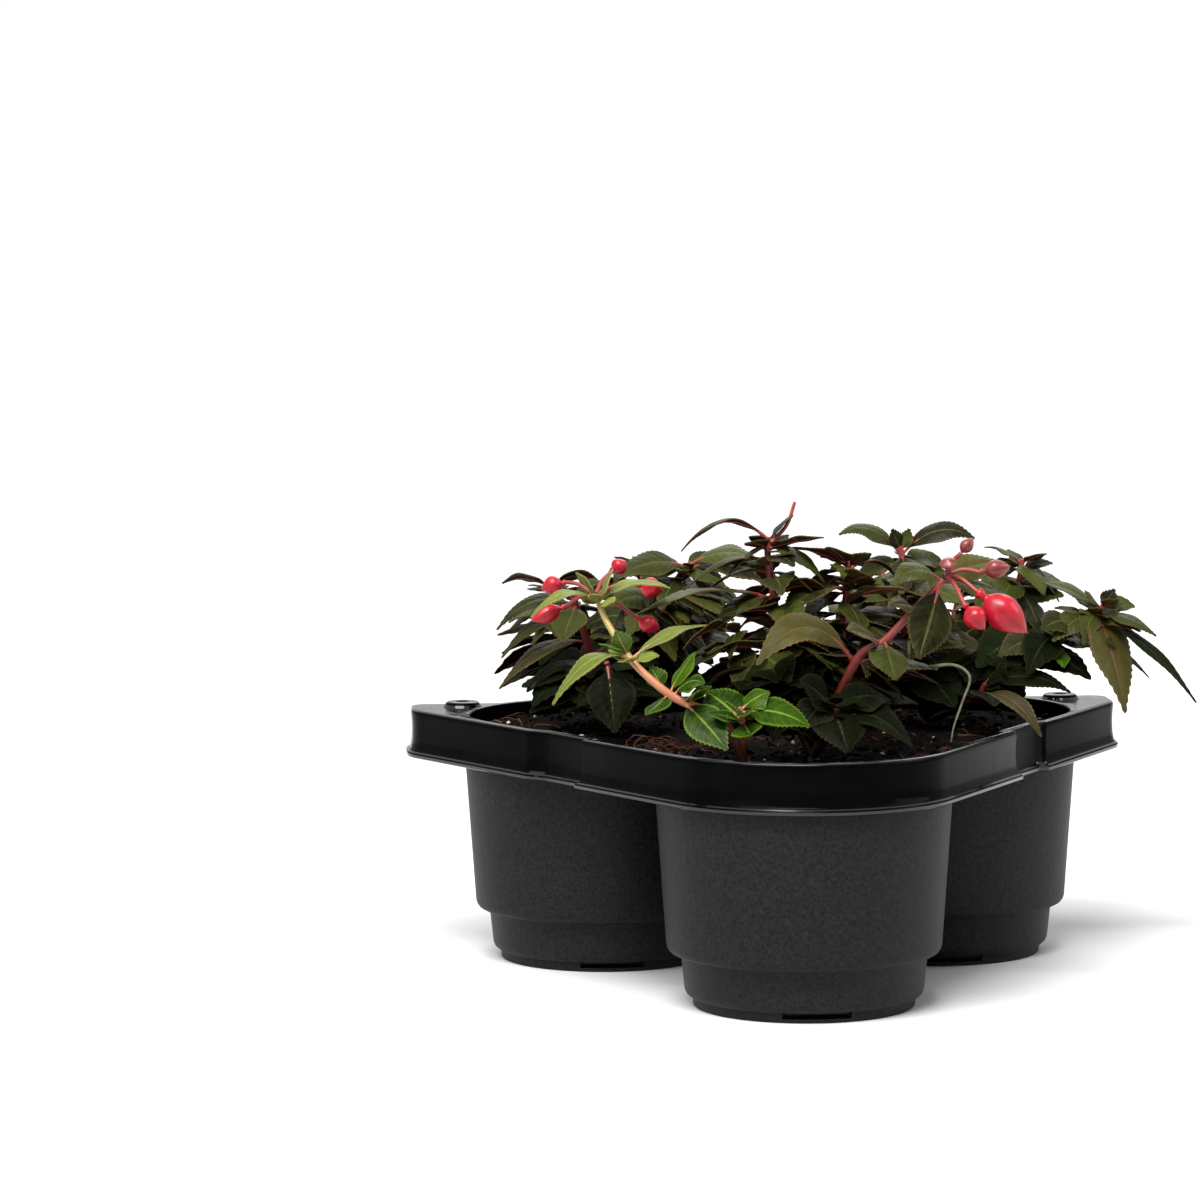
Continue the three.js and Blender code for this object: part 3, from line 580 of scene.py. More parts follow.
def peat(settings):
    """Peat compost: black-brown, crumbly and damp, so almost no gloss."""
    material, tree, shader = new_material(
        "peat_compost", IOR=1.4, Roughness=0.95, Specular_IOR_Level=0.08)
    browns = (
        (0.30, linear("#030202")), (0.48, opaque(settings.soil_brown)), (0.62, linear("#18100a")),
        (0.75, linear("#2a1b10")),
    )
    colour = add_node(tree, COLOURS, [(grains(tree, 5, 6.0, 0.7), 0)], stops=browns)
    crumbly = add_node(
        tree, BUMP, [(grains(tree, 1.2, 5.0, 0.7), "Height")], Strength=0.9, Distance=0.9 * MM)
    wire(tree, shader, Base_Color=colour, Normal=crumbly)
    return material


def speckled(name, dark, light, size_mm, roughness):
    """Bark, perlite or dry stalk: two tones in a grain of size_mm, matt."""
    material, tree, shader = new_material(name, IOR=1.45, Roughness=roughness, Specular_IOR_Level=0.2)
    tone = grains(tree, size_mm, 4.0)
    colour = add_node(tree, COLOURS, [(tone, 0)], stops=((0.3, linear(dark)), (0.7, linear(light))))
    rough = add_node(tree, BUMP, [(tone, "Height")], Strength=0.6, Distance=0.25 * MM)
    wire(tree, shader, Base_Color=colour, Normal=rough)
    return material


VEINS = 8.0  # side veins on each half of a blade
VEIN_SLANT = 0.2  # how much later along the blade a side vein reaches the edge


def blade_material(name, lamina, shade, vein, edge, roughness, waxy, glow, sheen=0.09):
    """A living leaf: waxy cuticle over green or bronze tissue, quilted between its veins."""
    material, tree, shader = new_material(
        name, IOR=1.45, Roughness=roughness, Specular_IOR_Level=sheen, Specular_Tint=(1.0, 0.95, 0.72, 1.0),
        Coat_Weight=waxy, Coat_Roughness=0.3, Subsurface_Weight=glow, Subsurface_Radius=(0.6, 1.0, 0.3),
        Subsurface_Scale=0.8 * MM)
    uv = add_node(tree, "ShaderNodeUVMap", uv_map="blade")
    split = add_node(tree, SPLIT, [(uv, 0)])
    # From 0 at the midrib to 1 at the edge.
    across = add_node(tree, MATH, [(split, 0)], operation="SUBTRACT", in_1=0.5)
    across = add_node(tree, MATH, [(across, 0)], operation="ABSOLUTE")
    across = add_node(tree, MATH, [(across, 0)], operation="MULTIPLY", in_1=2.0)
    # From 0 on a side vein to a half in the middle between two.
    slant = add_node(tree, MATH, [(across, 0)], operation="MULTIPLY", in_1=-VEIN_SLANT)
    lane = add_node(tree, MATH, [(split.outputs[1], 0), (slant, 1)], operation="ADD")
    lane = add_node(tree, MATH, [(lane, 0)], operation="MULTIPLY", in_1=VEINS)
    wave = add_node(tree, MATH, [(lane, 0)], operation="PINGPONG", in_1=0.5)
    side_vein = add_node(tree, RANGE, [(wave, 0)], in_1=0.0, in_2=0.05, in_3=0.28, in_4=0.0)
    midrib = add_node(tree, RANGE, [(across, 0)], in_1=0.03, in_2=0.09, in_3=0.8, in_4=0.0)
    veins = add_node(tree, MATH, [(side_vein, 0), (midrib, 1)], operation="MAXIMUM")
    # Each leaf's tone: its own lighter or darker green, and on low leaves painted shade.
    tone = add_node(tree, ATTRIBUTE, attribute_name="tone").outputs["Fac"]
    blend = add_node(tree, MATH, [(grains(tree, 6, 6.0, 0.7), 0), (tone, 1)], operation="ADD")
    blend = add_node(tree, MATH, [(blend, 0)], operation="MULTIPLY", in_1=0.5)
    colour = add_node(tree, COLOURS, [(blend, 0)], stops=((0.25, linear(shade)), (0.7, linear(lamina))))
    margin = add_node(tree, RANGE, [(across, 0)], in_1=0.84, in_2=1.0, in_3=0.0, in_4=0.7)
    for share, tint in ((margin, edge), (veins, vein)):
        mixed = add_node(tree, MIX, [(share, 0), (colour, 6)], data_type="RGBA", in_7=linear(tint))
        colour = mixed.outputs[2]
    quilt = add_node(tree, MATH, [(wave, 0)], operation="MULTIPLY", in_1=0.9)
    quilt = add_node(tree, MATH, [(quilt, 0), (midrib, 1)], operation="SUBTRACT")
    quilted = add_node(tree, BUMP, [(quilt, "Height")], Strength=0.6, Distance=0.3 * MM)
    skin = add_node(
        tree, BUMP, [(grains(tree, 0.9, 3.0), "Height"), (quilted, "Normal")], Strength=0.5,
        Distance=0.08 * MM)
    wire(tree, shader, Base_Color=colour, Normal=skin)
    return material


def stem_material(name, low, high, tip):
    """A young stem: green-brown and woody below, flushed towards its tip."""
    material, tree, shader = new_material(
        name, IOR=1.45, Roughness=0.42, Subsurface_Weight=0.08, Subsurface_Scale=1.0 * MM)
    grown = add_node(tree, ATTRIBUTE, attribute_name="tone").outputs["Fac"]
    streak = add_node(tree, MATH, [(grains(tree, 3, 4.0), 0)], operation="MULTIPLY", in_1=0.35)
    flush = add_node(tree, MATH, [(streak, 0), (grown, 1)], operation="ADD")
    colour = add_node(
        tree, COLOURS, [(flush, 0)], stops=((0.12, linear(low)), (0.55, linear(high)), (1.0, linear(tip))))
    skin = add_node(tree, BUMP, [(grains(tree, 0.8, 3.0), "Height")], Strength=0.5, Distance=0.1 * MM)
    wire(tree, shader, Base_Color=colour, Normal=skin)
    return material


def bud_material(name, seam, body, flush, tip):
    """A closed bud: four waxy sepals, darker along their seams and paler towards the tip."""
    material, tree, shader = new_material(
        name, IOR=1.45, Roughness=0.33, Specular_IOR_Level=0.3, Coat_Weight=0.2, Coat_Roughness=0.15,
        Subsurface_Weight=0.08, Subsurface_Radius=(1.0, 0.25, 0.2), Subsurface_Scale=2.0 * MM)
    ridge = add_node(tree, ATTRIBUTE, attribute_name="ridge").outputs["Fac"]
    mottle = add_node(tree, MATH, [(grains(tree, 2.5, 4.0), 0)], operation="MULTIPLY", in_1=0.24)
    mixed = add_node(tree, MATH, [(mottle, 0), (ridge, 1)], operation="ADD")
    reds = ((0.1, linear(seam)), (0.34, body), (0.62, linear(flush)), (0.9, linear(tip)))
    colour = add_node(tree, COLOURS, [(mixed, 0)], stops=reds)
    skin = add_node(tree, BUMP, [(grains(tree, 1.4, 3.0), "Height")], Strength=0.5, Distance=0.12 * MM)
    wire(tree, shader, Base_Color=colour, Normal=skin)
    return material


# ---- stems ----
BOW_STEPS = 6  # stretches between two points of a bow


def bow(points):
    """A smooth line through the points."""
    pts = [Vector(p) for p in points]
    pts = [pts[0] * 2 - pts[1]] + pts + [pts[-1] * 2 - pts[-2]]
    line = []
    for i in range(1, len(pts) - 2):
        a, b, c, d = pts[i - 1 : i + 3]
        square, cube = 2 * a - 5 * b + 4 * c - d, 3 * b - a - 3 * c + d
        for k in range(BOW_STEPS):
            t = k / BOW_STEPS
            line.append(0.5 * ((2 * b) + (c - a) * t + square * t**2 + cube * t**3))
    line.append(pts[-2])
    return line


def span(line):
    """A line's length."""
    return sum((b - a).length for a, b in zip(line, line[1:]))


def along(line, t):
    """The place at the share t of the line's length."""
    left = t * span(line)
    for i, (a, b) in enumerate(zip(line, line[1:])):
        length = (b - a).length
        if left <= length or i == len(line) - 2:
            return a.lerp(b, left / length)
        left -= length


# A stem is brown up to the first height, and fully flushed one span above it.
FLUSH_START, FLUSH_SPAN = 86, 70


def tubes(name, lines, material, roundness=3):
    """Round stalks as one bevelled curve made a mesh. Each line is (points, root radius, tip radius)."""
    deselect()
    curve = bpy.data.curves.new(name, "CURVE")
    curve.dimensions = "3D"
    curve.bevel_depth = 1.0 * MM
    curve.bevel_resolution = roundness
    curve.use_fill_caps = True
    for points, root, tip in lines:
        spline = curve.splines.new("POLY")
        spline.points.add(len(points) - 1)
        for i, p in enumerate(points):
            spline.points[i].co = (*at(*p), 1)
            spline.points[i].radius = root + (tip - root) * i / (len(points) - 1)
    ob = bpy.data.objects.new(name, curve)
    bpy.context.collection.objects.link(ob)
    choose(ob)
    bpy.ops.object.convert(target="MESH")
    ob = bpy.context.object
    ob.data.materials.clear()
    ob.data.materials.append(material)
    tone = ob.data.attributes.new("tone", "FLOAT", "POINT")
    for i, vertex in enumerate(ob.data.vertices):
        grown = (vertex.co.z * 1000 - FLUSH_START) / FLUSH_SPAN
        tone.data[i].value = min(max(grown, 0), 1)
    return ob


# ---- leaves ----
Leaf = namedtuple("Leaf", "place turn reach rise arch wide kind")
LEAF_KINDS = ("dark", "deep", "bronze", "bright", "pale")
LARGE, SMALL = (32, 8), (16, 4)  # rows and columns of a blade
NARROW = 9  # a leaf narrower than this is bent from the small blade
FOOT = 0.1  # share of a leaf that is stalk
STALK_STEPS = (0, 0.05, 0.1, 0.16, 0.24)
RIB_STEPS = (0.2, 0.35, 0.5, 0.65, 0.8, 0.93)
RIB_SHARE = 0.03  # radius of the midrib at its foot, as a share of the leaf's width
LEAN = 0.22  # how far the listed blades turn to the front
DEEP_SHADE = 116.0  # leaves below this height take the deep finish, painted shade for the dark low in the bush
OVERLAP = 14.0  # how far small leaves may reach in among those of the next pot
AXIL_WIDTH = 11  # leaves wider than this have small ones at their joint
LOW_PAIRS, PAIR_GAP = 17, 0.053  # dark pairs up a shoot, and the share of its length between them
SHORT_SHOOT = 34  # a shoot shorter than this is thin
SHORT_POINTS = 14  # a shoot whose bow has fewer points has no dark pairs
HALF_BLADE = 0.46  # the blade's half width, as a share of the leaf's
TRIES, TRY_TURN = 6, 50  # a leaf in the way is turned on by so many degrees, so many times
TOOTH, NOTCH = 0.07, -0.02  # how far the edge goes out and in, as shares of the half width
QUILT, GROOVE = 0.012, -0.03  # how far the blade bulges between veins, and the midrib sinks


def leaf_frame(base, leaf, home, s, lean=0):
    """Where the midrib lies at s, with the directions of the blade's side, face and length there.

    Lean turns a blade's face to the front, where the light came from.
    """
    a = math.radians(leaf.turn)
    tip = base + Vector((leaf.reach * math.cos(a), leaf.reach * math.sin(a), leaf.rise))
    middle = (base + tip) / 2 + Vector((0, 0, 2 * leaf.arch))
    place = base * (1 - s) ** 2 + middle * (2 * s * (1 - s)) + tip * s * s
    t = ((middle - base) + (base + tip - 2 * middle) * s).normalized()
    away = Vector((middle.x - home[0], middle.y - home[1], 0.01)).normalized()
    side = (Vector((0, -lean, 1)) + 0.5 * away).cross(t).normalized()
    return place, side, t.cross(side), t


def half_width(s, wide):
    """How far a leaf reaches from its midrib at s."""
    u = max((s - FOOT) / (1 - FOOT), 0)
    return max(wide / 2 * math.sin(math.pi * u**0.75), 0.9 - 0.5 * s)


def stays_home(base, leaf, home, margin=4):
    """Does the leaf stay nearer to its own pot than to the others, by the margin?"""
    for s in (0.3, 0.6, 1):
        place, side, _, _ = leaf_frame(base, leaf, home, s)
        for k in (-1, 1):
            p = place + side * (k * half_width(s, leaf.wide))
            own = math.hypot(p.x - home[0], p.y - home[1])
            for pot in POTS:
                if pot != home and math.hypot(p.x - pot[0], p.y - pot[1]) < own + margin:
                    return False
    return True


def rule_shoot(name, rule, draw):
    """A shoot that the photograph doesn't show: its stem's points, and leaf pairs set crosswise."""
    turn, reach, height, pairs = rule
    x, y = CROWNS[name]
    a = math.radians(turn)
    stem = [
        (x + reach * k * math.cos(a), y + reach * k * math.sin(a), CROWN_TOP - 2 + height * h)
        for k, h in ((0, 0), (0.35, 0.4), (0.75, 0.75), (1, 1))
    ]
    line = [Vector(p) for p in stem]
    leaves = []
    for i in range(pairs):
        place = 0.98 - 0.62 * (pairs - 1 - i) / pairs
        grown = 0.7 if i == pairs - 1 else 1
        for s in (0, 180):
            leaf = Leaf(
                place, turn + 90 * i + s + draw(-20, 20) + 45, draw(22, 30) * grown, draw(-10, 2), draw(3, 6),
                draw(13, 18) * grown, "dark")
            tries = 0
            while tries < TRIES and not stays_home(along(line, place), leaf, HOME[name]):
                leaf = leaf._replace(turn=leaf.turn + TRY_TURN)
                tries += 1
            if tries < TRIES:
                leaves.append(leaf)
    return stem, leaves


def blade_template(rows, columns):
    """The flat blade that every leaf is bent from: a grid, with its length along Y."""
    deselect()
    bpy.ops.mesh.primitive_grid_add(x_subdivisions=columns, y_subdivisions=rows, size=2)
    ob = bpy.context.object
    ob.name = "blade"
    ob.data.uv_layers[0].name = "blade"
    return ob


def filler_leaves(line, leaves, home, draw):
    """Small axillary leaves at each joint, and dark pairs that close the lower part of a shoot."""
    fill = []
    for leaf in leaves:
        if leaf.wide > AXIL_WIDTH:
            for s in (-1, 1):
                long = draw(8, 13)
                turn = leaf.turn + s * draw(30, 75)
                fill.append(Leaf(leaf.place - 0.02, turn, long, draw(0, 6), 1, long * 0.55, leaf.kind))
    start = draw(0, 180)
    bare = leaves[0].kind in ("pale", "bright") or len(line) < SHORT_POINTS
    for i in range(0 if bare else LOW_PAIRS):
        place = 0.1 + PAIR_GAP * i
        long = 15 + 13 * math.sin(math.pi * place)
        # Low pairs are drawn wider, to fill the bush's low dark with the deep finish's painted shade.
        low = along(line, place).z < DEEP_SHADE + 6
        for s in (0, 180):
            fill.append(Leaf(
                place, start + 90 * i + s + draw(-30, 30), long * draw(0.75, 1.2), draw(-13, 3), draw(2, 5),
                draw(15, 22) if low else draw(9, 14), "dark"))
    kept = []
    for leaf in fill:
        base = along(line, leaf.place)
        # A low leaf is lifted over the rim.
        if base.z < RIM_Z + 2:
            leaf = leaf._replace(rise=RIM_Z + 8 - base.z + draw(0, 5))
        elif base.z + leaf.rise < RIM_Z + 3:
            leaf = leaf._replace(rise=RIM_Z + 3 - base.z)
        if base.z > SOIL_Z and stays_home(base, leaf, home, -OVERLAP):
            kept.append(leaf)
    return kept


def bend_leaf(template, rows, base, leaf, home, lean, materials, draw):
    """A copy of the blade, shaped to a pointed toothed leaf along its bow."""
    ob = template.copy()
    ob.data = template.data.copy()
    bpy.context.collection.objects.link(ob)
    wide = leaf.wide
    phase, ruffle, roll = draw(0, FULL_TURN), draw(0.04, 0.1), draw(-0.16, 0.16)
    tone_and_painted_shade, crease, cup = draw(0, 1), draw(-0.02, 0.26), draw(0.06, 0.3)
    tone_and_painted_shade *= min(max((base.z - 95) / 45, 0.1), 1)  # low leaves are darker: partly for their age, partly painted shade for the bush above them
    tone = ob.data.attributes.new("tone", "FLOAT", "POINT")
    for i, vertex in enumerate(ob.data.vertices):
        v, u = -vertex.co.x, (vertex.co.y + 1) / 2
        row = round(u * rows)
        place, side, face, t = leaf_frame(base, leaf, home, FOOT + (1 - FOOT) * u, lean)
        w = max(HALF_BLADE * wide * math.sin(math.pi * max(u, 0) ** 0.8) ** 1.12, 0.25)
        tooth = 0.0
        if abs(v) > 0.99 and 2 < row < rows:
            tooth = (TOOTH if row % 2 else NOTCH) * wide / 2
        # Between the side veins the blade bulges up a little; the midrib lies in a groove.
        lane = (u - VEIN_SLANT * abs(v)) * VEINS
        quilt = QUILT * wide * abs(math.sin(math.pi * lane)) * (1 - abs(v)) * math.sin(math.pi * u)
        groove = GROOVE * wide * max(1 - 4 * abs(v), 0) * math.sin(math.pi * u)
        wave = ruffle * w * abs(v) ** 2 * math.sin(3.2 * math.pi * u + phase + (1.2 if v > 0 else 0))
        drop = -cup * w * v * v
        fold = crease * w * abs(v)
        twist = side * math.cos(roll * u) + face * math.sin(roll * u)
        raised = face * (quilt + groove + wave + drop + fold)
        p = place + twist * (v * w + math.copysign(tooth, v)) + raised
        if tooth > 0:
            p += t * 0.5  # teeth point to the tip
        vertex.co = at(*p)
        tone.data[i].value = tone_and_painted_shade
    ob.data.materials.clear()
    for kind in LEAF_KINDS:
        ob.data.materials.append(materials[kind])
        ob.data.materials.append(materials[kind + "_under"])
    # Low grown leaves take the deep finish, whose near-black is painted shade.
    low = leaf.kind == "dark" and base.z + 0.5 * leaf.rise < DEEP_SHADE
    index = 2 * LEAF_KINDS.index("deep" if low else leaf.kind)
    ob.data.polygons.foreach_set("material_index", [index] * len(ob.data.polygons))
    ob.data.update()
    return ob


def leaf_lines(base, leaf, home, lean):
    """A leaf's stalk and its midrib, as round lines under the blade."""
    frames = {s: leaf_frame(base, leaf, home, s, lean) for s in STALK_STEPS + RIB_STEPS}
    rib_root = RIB_SHARE * leaf.wide
    stalk = [frames[s][0] - frames[s][2] * 0.25 for s in STALK_STEPS]
    rib = [frames[s][0] - frames[s][2] * (rib_root * math.sin(math.pi * s) + 0.3) for s in RIB_STEPS]
    return (stalk, 0.05 * leaf.wide + 0.1, rib_root), (rib, rib_root, 0.4 * rib_root)


def make_plant(name, templates, materials, ruled, draw):
    """One plant in one piece: its blades bent and joined, then its stems and stalks."""
    home = HOME[name]
    x, y = CROWNS[name]
    stalks, threads, blades, shoots = [], [], [], []
    for i, (stem, rows) in enumerate(SHOOTS[name]):
        leaves = [Leaf(*row) for row in rows + GAP_LEAVES.get((name, i), ())]
        shoots.append((bow(stem), leaves, LEAN, (name, i) not in OPEN_SHOOTS))
    shoots += [(bow(stem), leaves, 0, True) for stem, leaves in ruled]
    for line, leaves, lean, filled in shoots:
        stalks.append((line, 1.1, 0.8) if span(line) < SHORT_SHOOT else (line, 1.8, 1.0))
        turned = [(leaf, lean, SMALL if leaf.wide < NARROW else LARGE, stalks) for leaf in leaves]
        if filled:
            small = filler_leaves(line, leaves, home, draw)
            turned += [(leaf, lean + draw(-0.2, 0.6), SMALL, threads) for leaf in small]
        for leaf, lean, size, strands in turned:
            base = along(line, leaf.place)
            blades.append(bend_leaf(templates[size], size[0], base, leaf, home, lean, materials, draw))
            strands.extend(leaf_lines(base, leaf, home, lean))
    stalks.append(([(x, y, CROWN_ROOT), (x, y, 80), (x, y, CROWN_TOP)], 3.9, 1.6))
    foliage = join(name + "_foliage", blades)
    # The blades get their thickness downwards, and the new side is their underside.
    finish_modifier(
        foliage, "SOLIDIFY", thickness=0.4 * MM, offset=-1, material_offset=1, material_offset_rim=0)
    bark = materials["pale_stem" if name == "pale_shoot" else "stem"]
    parts = [foliage, tubes(name + "_stalks", stalks, bark), tubes(name + "_threads", threads, bark, 1)]
    if name == "front_plant":
        parts.append(tubes("dry_stalk", [(bow(DRY_STEM), 0.6, 0.25)], materials["dry"]))
        parts.append(tubes("bare_stalk", [(bow(BARE_STALK), 0.8, 0.6)], materials["stem"]))
    plant = join(name + "_leaves", parts)
    smooth(plant, 60)
    hand_over(plant, name)


# ---- buds ----
YOUNG_RADIUS = 4  # the flowering shoot's buds under this radius are still brownish
PALE_SWELL = 1.25  # the pale shoot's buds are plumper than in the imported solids


def bud_radius(s):
    """An ovary the size of a bead, a short neck, a plump body and a drawn-out point."""
    ovary = 0.3 * math.sqrt(max(1 - ((s - 0.07) / 0.085) ** 2, 0))
    neck = 0.2 if 0.04 < s < 0.24 else 0.0
    k = max((s - 0.15) / 0.85, 0)
    body = math.sin(math.pi * min(k / 0.96, 1) ** 0.82) ** 0.85 if k < 0.96 else 0.0
    point = 0.26 * max(1 - k, 0) ** 0.6 if k > 0.6 else 0.0
    return max(ovary, neck, body, point, 0.02)


def make_bud(base, tip, radius, material):
    """One bud, drawn out of a ball, with four seams; ridge says how dark or pale it is."""
    deselect()
    bpy.ops.mesh.primitive_uv_sphere_add(segments=32, ring_count=48, radius=1)
    ob = bpy.context.object
    base, tip = Vector(base), Vector(tip)
    t = (tip - base).normalized()
    u = Vector((0, 0, 1)).cross(t).normalized()
    v = t.cross(u)
    ridge = ob.data.attributes.new("ridge", "FLOAT", "POINT")
    for i, vertex in enumerate(ob.data.vertices):
        s = math.acos(max(min(-vertex.co.z, 1), -1)) / math.pi
        angle = math.atan2(vertex.co.y, vertex.co.x)
        seam = abs(math.cos(2 * angle)) ** 12 * min(max(8 * (s - 0.2), 0), 1)
        r = radius * bud_radius(s) * (1 - 0.05 * seam)
        vertex.co = at(*(base + (tip - base) * s + u * (r * math.cos(angle)) + v * (r * math.sin(angle))))
        ridge.data[i].value = 0.24 - 0.24 * seam + 0.9 * max(s - 0.82, 0)
    ob.data.materials.append(material)
    return ob


def make_buds(name, materials):
    """A cluster: its buds, their stalks, and the knot that they spring from."""
    knot, buds = BUDS[name]
    parts, stalks = [], []
    for base, tip, radius in buds:
        middle = (Vector(knot) + Vector(base)) / 2 + Vector((0, 0, 1.5))
        into = Vector(base).lerp(Vector(tip), 0.12)
        stalks.append((bow((knot, middle, base, into)), 0.75, 0.7))
        flowering = name == "flower_buds"
        swell = 1.0 if flowering else PALE_SWELL
        kind = "young_bud" if flowering and radius < YOUNG_RADIUS else "bud"
        parts.append(make_bud(base, tip, radius * swell, materials[kind]))
    deselect()
    bpy.ops.mesh.primitive_ico_sphere_add(subdivisions=3, radius=1.6 * MM, location=at(*knot))
    ball = bpy.context.object
    bpy.ops.object.transform_apply(location=True, rotation=True, scale=True)
    ball.data.materials.append(materials["stem"])
    cluster = join(name + "_cluster", parts + [ball, tubes(name + "_stalks", stalks, materials["stem"])])
    smooth(cluster, 60)
    hand_over(cluster, name)


# ---- settings ----
class TraySettings(bpy.types.PropertyGroup):
    rim_black: FloatVectorProperty(
        name="Rim colour", description="Light tone of the polished rim", subtype="COLOR",
        default=linear("#060607")[:3])
    pot_black: FloatVectorProperty(
        name="Pot colour", description="Light tone of the grained pots", subtype="COLOR",
        default=linear("#212120")[:3])
    soil_brown: FloatVectorProperty(
        name="Soil colour", description="Main tone of the compost", subtype="COLOR",
        default=linear("#090604")[:3])
    crumbs: IntProperty(name="Crumbs", description="Loose crumbs on the soil", default=900, min=0)
    grain: FloatProperty(
        name="Soil grain", description="Size of the cells that the soil surface is made of", default=0.0014,
        min=0.0008, subtype="DISTANCE", unit="LENGTH")


class PlantSettings(bpy.types.PropertyGroup):
    bud_red: FloatVectorProperty(
        name="Bud colour", description="Main red of the buds", subtype="COLOR", default=linear("#9c0f1f")[:3])


class StageSettings(bpy.types.PropertyGroup):
    focal: FloatProperty(name="Focal length", description="Lens in millimetres", default=127.346, min=20)
    floor_grey: FloatProperty(
        name="Floor tone", description="How pale the floor is", default=0.6, min=0, max=1)
    surround: FloatProperty(
        name="Surround", description="Brightness of the white studio walls", default=0.12, min=0)
    sun: FloatProperty(
        name="Soft sun", description="Strength of the wide overhead light", default=4.7, min=0)


# ---- stage ----
FLOOR_SIZE = 16  # metres
SUN_AHEAD, SUN_SPREAD = (0.35, 0.55, -1.0), 50  # the way it shines, and its width in degrees
LIGHT_AIM = (0, 0, 0.08)
LIGHT_BOXES = (  # name, place, size, power
    ("left_box", (-1.1, -0.9, 0.9), 0.9, 3),
    ("right_box", (1.3, -0.2, 0.8), 0.9, 9),
    ("back_box", (0.2, 1.2, 1.2), 1.2, 10),
)
# A long narrow tube over the front draws the thin glints on the rim and the buds.
LIGHT_TUBE, LIGHT_TUBE_WIDTH = ("light_tube", (-0.25, -0.8, 1.3), 0.7, 16), 0.03
CAMERA_PLACE = (-171.593, -1539.499, 271.625)  # millimetres from the middle of the pots
CAMERA_TURN = (3.914, 4.989, -0.32)  # degrees to the right, down, and rolled
SENSOR = 36  # millimetres
FLOOR_FAR = (0.6, 2.2)  # metres from the middle, where the floor starts and ends to pale


def floor_paper(grey):
    """White background paper, matt: slightly uneven, and paler past the lamps' reach."""
    material, tree, shader = new_material("paper_floor", Roughness=0.8)
    tones = ((0.3, (grey * 0.985,) * 3 + (1,)), (0.7, (grey,) * 3 + (1,)))
    shade = add_node(tree, COLOURS, [(grains(tree, 400), 0)], stops=tones)
    # The paler paper keeps the floor white up to the horizon.
    place = add_node(tree, PLACE).outputs["Object"]
    reach = add_node(tree, "ShaderNodeVectorMath", [(place, 0)], operation="LENGTH").outputs["Value"]
    far = add_node(tree, RANGE, [(reach, 0)], in_1=FLOOR_FAR[0], in_2=FLOOR_FAR[1])
    white = (0.8, 0.8, 0.8, 1)
    paper = add_node(tree, MIX, [(far, 0), (shade, 6)], data_type="RGBA", in_7=white).outputs[2]
    wire(tree, shader, Base_Color=paper)
    return material


def studio_world(surround):
    """White walls: full for the camera, dim as a light, and a little brighter in reflections."""
    world = bpy.data.worlds.new("studio")
    world.use_nodes = True
    tree = world.node_tree
    path = add_node(tree, "ShaderNodeLightPath")
    seen = add_node(tree, RANGE, [(path.outputs["Is Camera Ray"], 0)], in_3=surround, in_4=1.0)
    mirrored = add_node(tree, MATH, [(path.outputs["Is Glossy Ray"], 0)], operation="MULTIPLY", in_1=0.7)
    level = add_node(tree, MATH, [(seen, 0), (mirrored, 1)], operation="MAXIMUM")
    walls = tree.nodes["Background"]
    walls.inputs["Color"].default_value = (1, 1, 1, 1)
    wire(tree, walls, Strength=level)
    return world


def aimed(ahead):
    """The turn that points a light that way."""
    return Vector(ahead).to_track_quat("-Z", "Y").to_euler()


def area_light(name, place, size, power):
    """A square lamp, turned to the middle of the pack."""
    bpy.ops.object.light_add(type="AREA", location=place)
    light = bpy.context.object
    light.name = name
    light.data.energy = power
    light.data.size = size
    light.rotation_euler = aimed(Vector(LIGHT_AIM) - Vector(place))
    return light


def place_camera(focal):
    """The camera that the picture was taken with, from its place, turn and roll."""
    camera = bpy.data.objects.new("camera", bpy.data.cameras.new("camera"))
    bpy.context.collection.objects.link(camera)
    camera.data.lens = focal
    camera.data.sensor_width = SENSOR
    azimuth, tilt, roll = (math.radians(degrees) for degrees in CAMERA_TURN)
    level = math.cos(tilt)
    ahead = Vector((math.sin(azimuth) * level, math.cos(azimuth) * level, -math.sin(tilt)))
    flat = Vector((math.cos(azimuth), -math.sin(azimuth), 0))
    up = flat.cross(ahead)
    right = flat * math.cos(roll) + up * math.sin(roll)
    up = up * math.cos(roll) - flat * math.sin(roll)
    turn = Matrix((right, up, -ahead)).transposed().to_4x4()
    camera.matrix_world = Matrix.Translation(at(*CAMERA_PLACE)) @ turn
    return camera


class FUCHSIA_OT_stage(bpy.types.Operator):
    """Adds the floor, the lights and the camera"""

    bl_idname = "fuchsia.stage"
    bl_label = "Stage"

    def execute(self, context):
        settings = context.scene.fuchsia_stage
        deselect()
        bpy.ops.mesh.primitive_plane_add(size=FLOOR_SIZE, location=(0, 0, 0))
        floor = context.object
        floor.name = "floor"
        floor.data.materials.append(floor_paper(settings.floor_grey))
        context.scene.world = studio_world(settings.surround)
        bpy.ops.object.light_add(type="SUN", location=(-1, -1.4, 2.2))
        sun = context.object
        sun.name = "soft_sun"
        sun.data.energy = settings.sun
        sun.data.angle = math.radians(SUN_SPREAD)
        sun.rotation_euler = aimed(SUN_AHEAD)
        for box in LIGHT_BOXES:
            area_light(*box)
        tube = area_light(*LIGHT_TUBE)
        tube.data.shape = "RECTANGLE"
        tube.data.size_y = LIGHT_TUBE_WIDTH
        context.scene.camera = place_camera(settings.focal)
        context.scene.view_settings.view_transform = "Standard"
        return {"FINISHED"}


# ---- tray ----
GRAINED, POLISHED, ETCHED, EDGE = range(4)  # the tray's finishes, in the order of its materials


